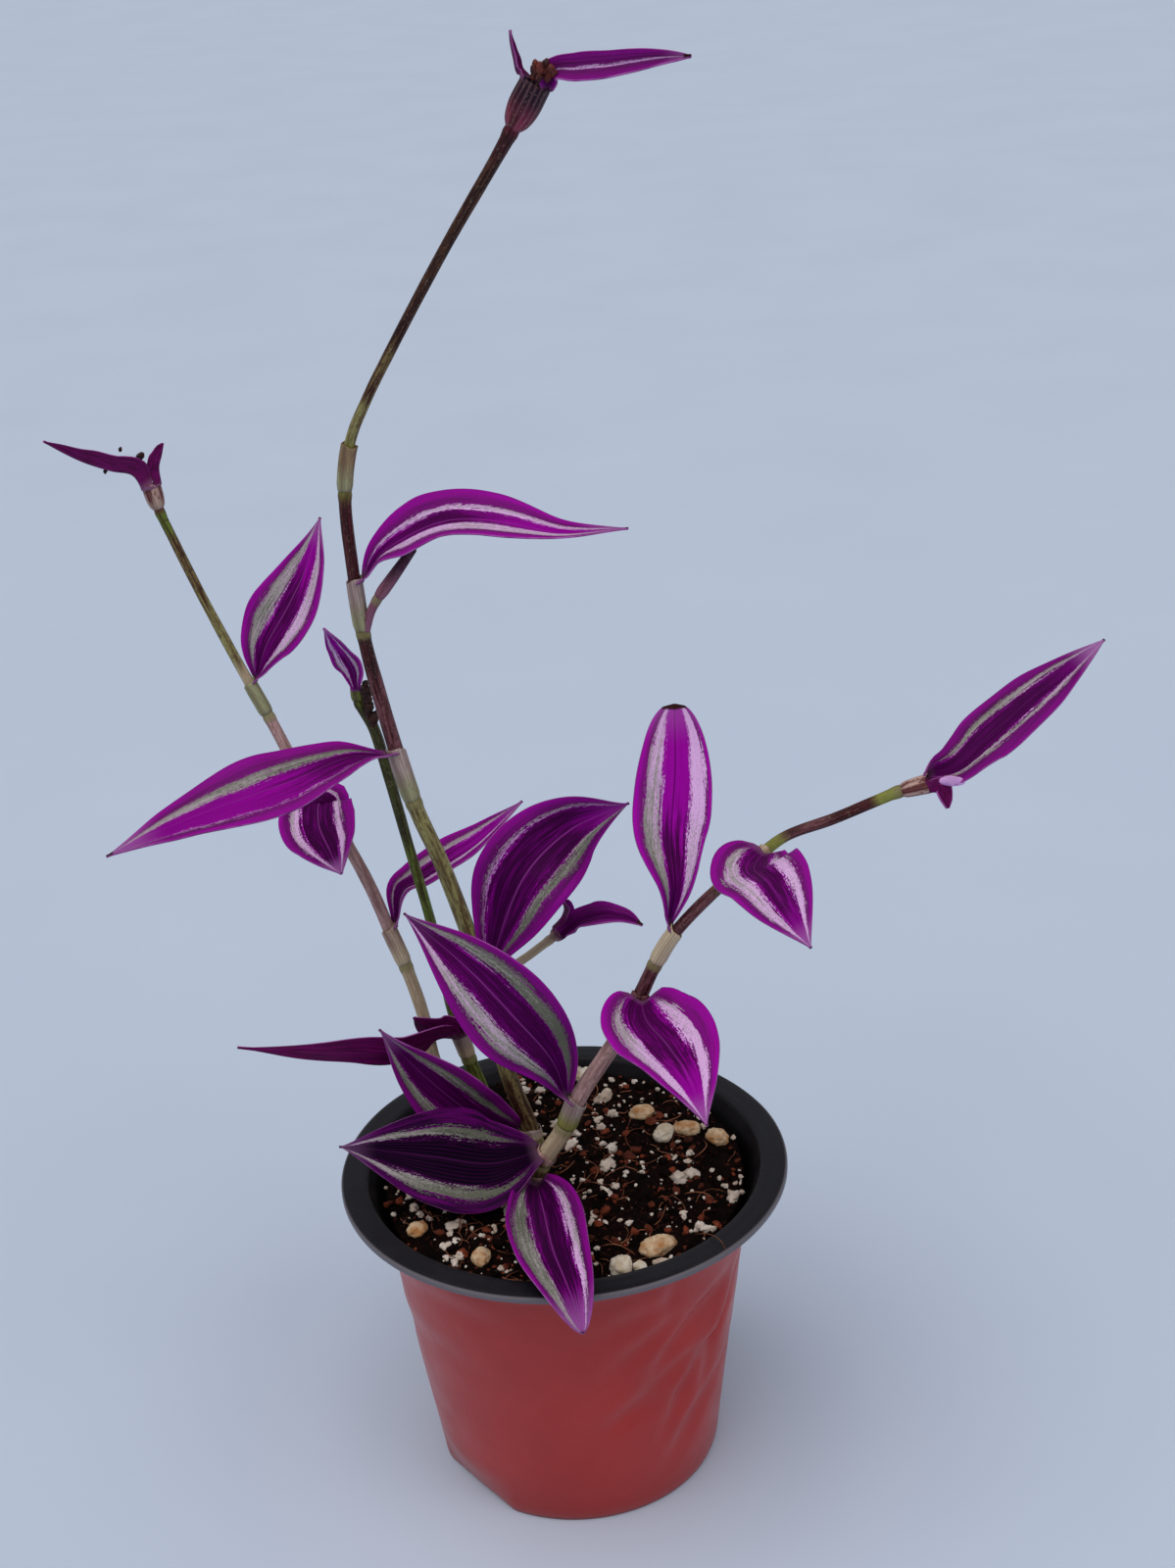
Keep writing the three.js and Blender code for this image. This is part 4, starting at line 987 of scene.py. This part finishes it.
def creaseDepth(x, y, z):
    radius = hypot(x, y)
    total = 0
    for azimuth, height, length, lean, depth, width in creases:
        off = (atan2(y, x) - radians(azimuth) + 3 * pi) % (2 * pi) - pi
        right, up = off * radius, z - height
        along = right * cos(radians(lean)) + up * sin(radians(lean))
        across = up * cos(radians(lean)) - right * sin(radians(lean)) + 0.012 * along * along
        fold = exp(-(across / width) ** 2) - 0.55 * exp(-((across - 1.7 * width) / width) ** 2)
        total += depth * fold * exp(-(2 * along / length) ** 2)
    return total * smooth(4, 14, z) * smooth(84, 74, z)


def potMesh():
    wall, height, rim, mouth = pot["wall"], pot["height"], pot["rimRadius"], pot["mouthRadius"]
    bodySteps = 36
    heights = [pot["bodyTopHeight"] * (i + 1) / bodySteps for i in range(bodySteps)]
    outside = [(0, 0), (12, 0), (24, 0), (pot["floorRadius"], 0), (potRadius(0) - pot["heel"], 0),
               (potRadius(0) - 0.4, 0.4), (potRadius(0), pot["heel"])]
    outside += [(potRadius(z), z) for z in heights if z > pot["heel"]]
    outside += [(50.3, 82), (51.2, 83.2), (51.8, 84.6), (pot["collarRadius"], pot["collarHeight"]),
                (53.4, 88.3), (54, 88.7)]
    flange = [(56, 88.9), (58.2, 89), (58.8, 88.8), (59, 88.4), (59.1, height - pot["lipDrop"]),
              (59.8, height - pot["lipDrop"]), (rim, 88.5), (rim, 89.3), (59.8, 89.8), (59.3, height)]
    flange += [(57, 89.9), (55, 89.9), (mouth + 0.6, height), (mouth, 89.7), (52.5, 88.5)]
    inside = [(51.4, 86.5), (50.6, 84.4), (49.6, 82.6)]
    inside += [(potRadius(z) - wall, z) for z in reversed(heights) if z > 2 * pot["heel"]]
    inside += [(potRadius(0) - wall - 1, 1.3), (pot["floorRadius"], wall), (12, wall), (0, wall)]
    bm = bmesh.new()
    profile = [bm.verts.new((radius, 0, z)) for radius, z in outside + flange + inside]
    edges = [bm.edges.new(pair) for pair in zip(profile, profile[1:])]
    bmesh.ops.spin(bm, geom=profile + edges, cent=(0, 0, 0), axis=(0, 0, 1), angle=2 * pi,
                   steps=pot["sides"], use_merge=True, use_duplicate=False)
    bmesh.ops.remove_doubles(bm, verts=bm.verts, dist=1e-3)
    bmesh.ops.recalc_face_normals(bm, faces=bm.faces)
    for face in bm.faces:
        centre = face.calc_center_median()
        outer = face.normal.x * centre.x + face.normal.y * centre.y > 0 or face.normal.z < -0.5
        red = outer and centre.z < 88.8 and hypot(centre.x, centre.y) < 55
        face.material_index = 0 if red else 1
    for vert in bm.verts:
        x, y, z = vert.co
        radius = hypot(x, y)
        if radius < 1:
            continue
        inward = cornerCut(x, y, z)
        inward += creaseDepth(x, y, z) + 0.25 * ripple((x, y, z), 26, 4) * smooth(2, 20, z)
        vert.co.x -= x * inward / radius
        vert.co.y -= y * inward / radius
        vert.co.z += 0.25 * ripple((x, y, 0), 30, 7) * smooth(80, 90, z)
    return bm


def drillDrains(bm):
    # cuts the drain holes out of the floor with one boolean
    cutter = bmesh.new()
    for i in range(pot["drains"]):
        angle = 2 * pi * i / pot["drains"]
        spot = Matrix.Translation((pot["drainCircle"] * cos(angle), pot["drainCircle"] * sin(angle), 0))
        bmesh.ops.create_cone(cutter, cap_ends=True, segments=24, radius1=pot["drainRadius"],
                              radius2=pot["drainRadius"], depth=6, matrix=spot)
    meshes = [bpy.data.meshes.new(part) for part in ("potBody", "potDrill")]
    for source, mesh in zip((bm, cutter), meshes):
        source.to_mesh(mesh)
        source.free()
    body, drill = [addObject(mesh.name, mesh) for mesh in meshes]
    cut = body.modifiers.new("drains", "BOOLEAN")
    cut.operation = "DIFFERENCE"
    cut.object = drill
    bpy.context.view_layer.update()
    result = bmesh.new()
    result.from_object(body, bpy.context.evaluated_depsgraph_get())
    for item in (body, drill):
        bpy.data.objects.remove(item)
    for mesh in meshes:
        bpy.data.meshes.remove(mesh)
    return result


# spokes is painted shade in the rim's grooves, and the last two are painted light: a highlight round the
# rim's outer edge and shade on the inner wall
potPaint = {
    "red": "a61d18", "redBright": "b0241e", "foot": "8a1f1c", "scuffs": "6c1716", "dust": "c9867f",
    "charcoal": "100e13", "charcoalPale": "19161c", "greyDust": "4a403e", "spokes": "070608",
    "rimEdgeHighlight": "6a656c", "inside": "0b0807",
}


def potRed():
    material, tree = newMaterial("potRed", Specular_IOR_Level=0.4, Coat_Weight=0.16, Coat_Roughness=0.2)
    where = ownPlace(tree)
    marks, clouds = specksAndClouds(where, 420.0, 38.0, 0.05)
    dust, film = specksAndClouds(where, 1500.0, 90.0, 0.2)
    colour = clouds.blend(potPaint["red"], potPaint["redBright"])
    colour = (where.split()[2].fade(0.02, 0.0) * 0.4).blend(colour, potPaint["foot"])
    colour = (marks * 0.5).blend(colour, potPaint["scuffs"])
    colour = (dust * 0.12).blend(colour, potPaint["dust"])
    return dress(material, colour, film * 0.1 + 0.3, where.noise(260.0, 3.0), 0.0002, 0.35)


def potCharcoal():
    material, tree = newMaterial("potCharcoal", Specular_IOR_Level=0.26)
    where = ownPlace(tree)
    x, y, z = where.split()
    dust, film = specksAndClouds(where, 1300.0, 80.0, 0.25)
    radius = (x * x + y * y).calc("SQRT")
    # the spokes are shallow grooves, and their darker colour is painted shade in the grooves
    spokes = (y.calc("ARCTAN2", x) * (36 / pi)).calc("PINGPONG", 1.0)
    spoke = spokes.fade(0.1, 0.0) * where.noise(25.0).fade(0.5, 0.65)
    colour = film.blend(potPaint["charcoal"], potPaint["charcoalPale"])
    colour = (dust * 0.35).blend(colour, potPaint["greyDust"])
    colour = (spoke * 0.5).blend(colour, potPaint["spokes"])
    # a pale grey band round the rim's outer edge is a painted highlight
    colour = radius.fade(0.0592, 0.0599).blend(colour, potPaint["rimEdgeHighlight"])
    # below the rim the inner wall is made darker than the same plastic on top: painted shade inside the pot
    colour = z.fade(0.088, 0.083).blend(colour, potPaint["inside"])
    return dress(material, colour, film * 0.16 + 0.36, where.noise(700.0) - spoke, 0.0001, 0.4)


finishPiece(drillDrains(potMesh()), "pot_fine", [potRed(), potCharcoal()], ["pot"])
print("pot turned")

# Potting mix: a lumpy surface, crumbs, perlite, fibres and stones.
soil = {
    "level": 85, "dome": 1.6, "slope": 0.045, "lumps": 0.5, "columns": 250, "ringStep": 0.62, "crumb": 0.75,
    "litterReach": 48.5, "dark": "070302", "pale": "170b09", "crumbs": "4a2318",
}


def soilHeight(x, y):
    share = hypot(x, y) / pot["mouthRadius"]
    lumps = sin(x * 0.45 + 1) * cos(y * 0.38) + 0.6 * sin(x * 0.21 - y * 0.33 + 2)
    return soil["level"] + soil["dome"] * (1 - share ** 2) + soil["slope"] * y + soil["lumps"] * lumps


def soilTop(x, y):
    # the soft dome with its crumbly surface
    rough = ripple((x, y, 0), 3.2, 1) + 0.6 * ripple((x, y, 0), 1.5, 2) + 0.35 * ripple((x, y, 0), 0.8, 3)
    return soilHeight(x, y) + soil["crumb"] * rough


def soilBody():
    edge = potRadius(pot["bodyTopHeight"]) - pot["wall"] - gap
    topRings = round(edge / soil["ringStep"])
    sides = [81, 60, 40, 20, 8, 3]
    path = [("top", edge * (i / topRings)) for i in range(topRings + 1)]
    path += [("side", z) for z in sides] + [("floor", 20), ("floor", 0)]
    inset = pot["wall"] + 2 * gap

    def place(across, along):
        angle = -2 * pi * across
        kind, value = path[round(along * (len(path) - 1))]
        radius = value if kind != "side" else potRadius(value) - inset - 2.4 * smooth(81, 72, value)
        x, y = radius * cos(angle), radius * sin(angle)
        z = soilTop(x, y) if kind == "top" else value if kind == "side" else inset
        inward = cornerCut(x, y, z) if kind == "side" else 0
        return Vector((x, y, z)) - Vector((x, y, 0)) * (inward / max(radius, 1))

    bm = gridShape(soil["columns"], len(path) - 1, place, closed=True)
    bmesh.ops.recalc_face_normals(bm, faces=bm.faces)
    return bm


def soilMaterial():
    material, tree = newMaterial("peat", Specular_IOR_Level=0.05)
    where = ownPlace(tree)
    crumbs, clouds = specksAndClouds(where, 700.0, 240.0, 0.35)
    colour = (crumbs * 0.7).blend(clouds.blend(soil["dark"], soil["pale"]), soil["crumbs"])
    return dress(material, colour, clouds * 0.2 + 0.75, where.noise(900.0, 4.0, 0.7), 0.0008, 0.9)


def grainMaterial(name, dark, pale, stain):
    # loose grains; their own tint is painted on the mesh
    material, tree = newMaterial(name, Specular_IOR_Level=0.15)
    where = ownPlace(tree)
    specks, clouds = specksAndClouds(where, 900.0, 330.0, 0.3)
    colour = (specks * 0.6).blend(clouds.blend(dark, pale), stain)
    colour = colour.tint(paintedTone(tree, "Color"))
    return dress(material, colour, clouds * 0.15 + 0.72, where.noise(1400.0, 3.0), 0.0003, 0.7)


peat = soilMaterial()
finishPiece(soilBody(), "soil_fine", [peat], ["soil"])

# Stones: x, y, radius, flatness, turn in degrees.
stones = [
    (23.5, -33, 4.6, 0.62, 20), (13.5, -40, 3.5, 0.7, 75), (18.5, -41, 2, 0.7, 110), (34, 17, 3.4, 0.7, 0),
    (27.5, 14, 3.1, 0.8, 50), (42, 12, 3.3, 0.7, 130), (22, 25, 3.2, 0.6, 10), (-39, -21, 2.9, 0.7, 60),
    (7, 44, 3, 0.9, 30), (-22, -34, 3.1, 0.7, 100),
]
tanStone = grainMaterial("tanStone", "b37a48", "dfc6a4", "8a4c26")
creamStone = grainMaterial("creamStone", "cbb79c", "e9dfce", "a4845f")


def stoneShape(x, y, radius, flatness, turn, seed):
    bm = bmesh.new()
    bm.verts.layers.float_color.new("tone")
    bmesh.ops.create_icosphere(bm, subdivisions=4, radius=1)
    layer = bm.verts.layers.float_color["tone"]
    centre = Vector((x, y, soilHeight(x, y) + radius * flatness * 0.35))
    for vert in bm.verts:
        way = vert.co.normalized()
        size = 0.9 + 0.2 * ripple(way, 0.8, seed) + 0.2 * (0.4 - abs(ripple(way, 0.5, seed)))
        size += 0.09 * (0.4 - abs(ripple(way, 0.22, seed))) + 0.04 * ripple(way, 0.09, seed)
        vert.co = Vector((way.x * 1.12, way.y * 0.86, way.z * flatness)) * radius * size
        vert.co.rotate(Matrix.Rotation(radians(turn), 3, "Z"))
        vert.co += centre
        vert[layer] = (1, 1, 1, 1)
    return bm


for index, stone in enumerate(stones):
    material = creamStone if index in (1, 2, 4, 8) else tanStone
    node = f"stone_{index + 1}"
    finishPiece(stoneShape(*stone, index + 11), node + "_fine", [material], [node])
print("soil and stones laid")


def clearOfStems(x, y, room):
    level = soil["level"]
    for route in routes.values():
        for _, point, _, _, radius, _ in route.samples:
            if abs(point.z - level) < 3 and hypot(point.x - x, point.y - y) < radius + room:
                return False
    return True


def scatterGrains(name, material, count, sizes, tints, seed, sunk=0.3, faces=1, bias=2.5, knobs=0.3):
    # loose grains on the soil, joined in one piece; each keeps its own tint
    source = random.Random(seed)
    bm = bmesh.new()
    layer = bm.verts.layers.float_color.new("tone")
    placed = 0
    while placed < count:
        angle = 2 * pi * source.random()
        distance = soil["litterReach"] * sqrt(source.random())
        x, y = distance * cos(angle), distance * sin(angle)
        size = mix(sizes[0], sizes[1], source.random() ** bias)
        stretch = [source.uniform(0.6, 1.45) for _ in range(2)] + [source.uniform(0.55, 0.9)]
        turn = Matrix.Rotation(source.uniform(0, 6.3), 4, "Z")
        turn = turn @ Matrix.Rotation(source.uniform(-0.6, 0.6), 4, "X")
        tint = Vector(tints[0]).lerp(Vector(tints[1]), source.random())
        if any(hypot(x - s[0], y - s[1]) < 1.05 * s[2] + 0.6 * size for s in stones):
            continue
        if not clearOfStems(x, y, size):
            continue
        centre = Matrix.Translation((x, y, soilTop(x, y) + size * (0.5 - sunk)))
        shape = centre @ turn @ Matrix.Diagonal((*stretch, 1))
        made = bmesh.ops.create_icosphere(bm, subdivisions=faces, radius=size, matrix=shape)
        for vert in made["verts"]:
            spot = vert.co.copy()
            lump = knobs * ripple(spot, 1.1 * size, seed)
            if faces > 1:
                lump += 0.9 * knobs * (0.5 - abs(ripple(spot, 0.55 * size, seed + 1)) * 2)
            vert.co += (spot - centre.translation) * lump
            vert[layer] = (*tint, 1)
        placed += 1
    return finishPiece(bm, name, [material], soft=faces > 1)


perliteSkin = grainMaterial("perliteSkin", "cdbdb0", "f1e7dd", "97694f")
barkSkin = grainMaterial("barkSkin", "4a2319", "6f3a28", "1d0d0a")
white = ((0.8, 0.72, 0.65), (1, 1, 1))
scatterGrains("perlite_large", perliteSkin, 52, (1.2, 2.3), white, 3, faces=3, bias=1.6, knobs=0.55)
scatterGrains("perlite_small", perliteSkin, 420, (0.3, 1.2), white, 4, bias=2.4, knobs=0.6)
scatterGrains("peat_crumbs", peat, 620, (0.5, 1.7), white, 5, sunk=0.5)
brown = ((0.4, 0.35, 0.35), (1.7, 1.25, 1))
scatterGrains("bark_bits", barkSkin, 420, (0.4, 1.6), brown, 6, sunk=0.35, knobs=0.6)
print("grains scattered")


def strand(bm, points, radius, sides=4, perSpan=4, layer=None, tint=(1, 1, 1, 1)):
    # a thin fibre through the points, pointed at both ends
    route = Route(points, perSpan=perSpan)
    rows = len(route.samples) - 1

    def place(across, along):
        point, direction, side, _, _ = route.at(along * route.length)
        taper = min(1, 6 * along + 0.15, 6 * (1 - along) + 0.15)
        return point + around(direction, side, across) * radius * taper

    joinInto(bm, gridShape(sides, rows, place, toneOf=lambda a, b: tint, closed=True))


fibreSkin = grainMaterial("fibreSkin", "5b2f22", "9a6247", "2c130d")
fibres = {"count": 150, "length": (3, 12), "radius": (0.1, 0.2), "reach": 47, "seed": 8}
source = random.Random(fibres["seed"])
bm = bmesh.new()
for _ in range(fibres["count"]):
    angle = 2 * pi * source.random()
    distance = fibres["reach"] * sqrt(source.random())
    length = source.uniform(*fibres["length"])
    heading = source.uniform(0, 2 * pi)
    bend = source.uniform(-1.2, 1.2)
    points = []
    for k in range(4):
        x = distance * cos(angle) + length * (k / 3 - 0.5) * cos(heading + bend * k / 3)
        y = distance * sin(angle) + length * (k / 3 - 0.5) * sin(heading + bend * k / 3)
        scale = min(1, fibres["reach"] / max(hypot(x, y), 1))
        points.append((x * scale, y * scale, soilTop(x * scale, y * scale) + source.uniform(0.1, 1.1)))
    strand(bm, points, source.uniform(*fibres["radius"]), sides=3, perSpan=2)
# one fibre stands up by the right wall and a hair hangs over the rim
strand(bm, [(38, 33, 86), (41, 34.5, 89), (42.5, 35.5, 93), (42, 36, 97)], 0.35, sides=5)
strand(bm, [(33, -33, 87.5), (37, -38, 90.6), (39.5, -42, 90.8), (40.5, -45, 89)], 0.12)
finishPiece(bm, "coir_fibres", [fibreSkin])
print("fibres laid")

# Flower buds between the bracts, a spent flower head and one pink petal.
# A lump is its place from the centre, its size and its height as a share of that.
clusters = {
    "buds_tall": dict(centre=(11.4, 4.4, 371.2), size=0.9, count=15, spread=(2.6, 0.9, 2), hairs=5, seed=5),
    "buds_left": dict(centre=(-98.6, 58.6, 274.8), size=0.6, count=5, spread=(0.8, 0.6, 0.7), hairs=4, seed=9,
                      lumps=[((-4.8, -1.2, 2.4), 0.5, 1.5), ((-9.2, -2.4, -2.8), 0.55, 1.3)]),
    "spent_flower": dict(centre=(-43.6, 32.2, 214.1), size=1.15, count=11, spread=(0.7, 0.8, 5.6),
                         hairs=3, seed=3, lumps=[((1.2, -0.4, -5.6), 1.35, 1.9)]),
}


budPaint = {
    "dry": "0e0404", "dryPale": "341009", "fresh": "3a0a10", "freshPale": "84382c", "rims": "d89a8c",
}


def budMaterial():
    # dark brown, redder and paler as tone rises, with pale specks; tone says how red a lump is
    material, tree = newMaterial("budSkin", Specular_IOR_Level=0.3)
    specks, clouds = specksAndClouds(ownPlace(tree), 1500.0, 520.0, 0.3)
    tone = paintedTone(tree, "Fac")
    dry = clouds.blend(budPaint["dry"], budPaint["dryPale"])
    fresh = clouds.blend(budPaint["fresh"], budPaint["freshPale"])
    colour = (specks * (tone * 0.6 + 0.1)).blend(tone.blend(dry, fresh), budPaint["rims"])
    return dress(material, colour, specks * 0.1 + 0.6, specks, 0.0002, 0.8)


def budLump(bm, middle, size, stretch, tilt, tone, seed):
    # one bud or withered petal: a dented ball
    layer = bm.verts.layers.float_color.get("tone") or bm.verts.layers.float_color.new("tone")
    shape = Matrix.Translation(middle) @ tilt @ Matrix.Diagonal((1, 1, stretch, 1))
    made = bmesh.ops.create_icosphere(bm, subdivisions=3, radius=size, matrix=shape)
    for vert in made["verts"]:
        dent = 0.3 * ripple(vert.co, 0.7 * size, seed) - 0.2 * abs(ripple(vert.co, 0.4 * size, seed + 1))
        vert.co += (vert.co - middle) * dent
        vert[layer] = (tone, tone, tone, 1)


budSkin = budMaterial()
for name, cluster in clusters.items():
    source = random.Random(cluster["seed"])
    bm = bmesh.new()
    centre, size, spread = Vector(cluster["centre"]), cluster["size"], cluster["spread"]
    fresh = 0.85 if name == "buds_tall" else 0.08
    for index in range(cluster["count"]):
        share = (index + 0.5) / cluster["count"]
        turn = 2.4 * index
        offset = Vector((spread[0] * cos(turn) * sqrt(share), spread[1] * source.uniform(-1, 1),
                         spread[2] * sin(turn) * sqrt(share)))
        tilt = Matrix.Rotation(source.uniform(-0.6, 0.6), 4, "X")
        tilt = tilt @ Matrix.Rotation(source.uniform(-0.6, 0.6), 4, "Y")
        lumpSize, red = size * source.uniform(0.8, 1.15), fresh * source.uniform(0.6, 1)
        budLump(bm, centre + offset, lumpSize, 1.2, tilt, red, index)
        for _ in range(cluster["hairs"]):
            way = Vector([source.gauss(0, 1) for _ in range(3)]).normalized()
            root = centre + offset + way * 0.9 * size
            hair = [root, root + way * 0.35, root + way * 0.6 + Vector((0, 0, 0.15))]
            strand(bm, hair, 0.03, sides=3, perSpan=1)
    for offset, lumpSize, stretch in cluster.get("lumps", []):
        budLump(bm, centre + Vector(offset), lumpSize, stretch, Matrix.Rotation(0.25, 4, "Y"), 0.1, 5)
    finishPiece(bm, name + "_fine", [budSkin], [name])

petal = {
    "centre": (99.7, -20, 205), "size": (3.1, 1.5), "turn": 0.15, "tilt": 0.3, "curl": 0.5,
    "pink": "e6aee8", "veins": "c46fca",
}


def petalMesh():
    turn = Matrix.Rotation(petal["turn"], 3, "Y")
    tilt = Matrix.Rotation(petal["tilt"], 3, "X")

    def place(across, along):
        u, v = 2 * across - 1, 2 * along - 1
        length = petal["size"][0] * u
        height = petal["size"][1] * v * sqrt(max(1 - u * u, 0.02))
        depth = petal["curl"] * (v * v - 0.6) + 0.25 * ripple((length, height, 0), 1.5, 3)
        return Vector(petal["centre"]) + tilt @ turn @ Vector((length, depth, height))

    bm = gridShape(24, 12, place)
    bmesh.ops.solidify(bm, geom=bm.faces, thickness=0.25)
    return bm


def petalMaterial():
    material, tree = newMaterial("petalSkin", Subsurface_Weight=0.2, Subsurface_Radius=(0.002, 0.001, 0.002))
    across, along, _ = uvPlace(tree)
    veins = veinLines(along, across, 7.0, 0.5)
    return dress(material, (veins * 0.5).blend(petal["pink"], petal["veins"]), veins * 0.1 + 0.45)


finishPiece(petalMesh(), "petal_fine", [petalMaterial()], ["petal"])
print("flowers placed")

# Studio: a plain pale floor, soft light from two wide suns and the camera.
studio = {
    "camera": (12.2, -514.6, 432.9), "pitch": 24.28, "roll": -3.3, "lens": 52, "sensor": 36, "floor": 40,
    "world": 0.48, "worldTone": "d3d9e2", "lightTone": "fdf8f4", "floorTones": ("c8d6ea", "d0ddf0"),
    "suns": [("key", (-0.5, -0.5, 1.5), 1.3, 60), ("fill", (0.9, -0.6, 0.9), 0.45, 40)],
}


def floorMaterial():
    material, tree = newMaterial("paleFloor", Specular_IOR_Level=0.3)
    cloud = ownPlace(tree).noise(8.0, 3.0)
    return dress(material, cloud.blend(*studio["floorTones"]), cloud * 0.1 + 0.5)


bm = bmesh.new()
bmesh.ops.create_grid(bm, x_segments=1, y_segments=1, size=studio["floor"] / 2)
floorMesh = bpy.data.meshes.new("floor")
bm.to_mesh(floorMesh)
bm.free()
floorMesh.materials.append(floorMaterial())
floorPiece = addObject("floor", floorMesh)

for name, spot, power, spread in studio["suns"]:
    light = bpy.data.lights.new(name, "SUN")
    light.energy = power
    light.angle = radians(spread)
    light.color = paint(studio["lightTone"])[:3]
    lamp = addObject(name, light)
    lamp.location = spot
    lamp.rotation_euler = Vector(spot).to_track_quat("Z", "Y").to_euler()

world = bpy.data.worlds.new("studio")
world.use_nodes = True
world.node_tree.nodes["Background"].inputs["Color"].default_value = paint(studio["worldTone"])
world.node_tree.nodes["Background"].inputs["Strength"].default_value = studio["world"]
bpy.context.scene.world = world
bpy.context.scene.view_settings.view_transform = "Standard"

lens = bpy.data.cameras.new("camera")
lens.lens = studio["lens"]
lens.sensor_width = studio["sensor"]
camera = addObject("camera", lens)
pitch = Matrix.Rotation(radians(90 - studio["pitch"]), 3, "X")
roll = Matrix.Rotation(radians(studio["roll"]), 3, "Z")
camera.rotation_euler = (pitch @ roll).to_euler()
camera.location = Vector(studio["camera"]) * mm
bpy.context.scene.camera = camera
print("studio set")
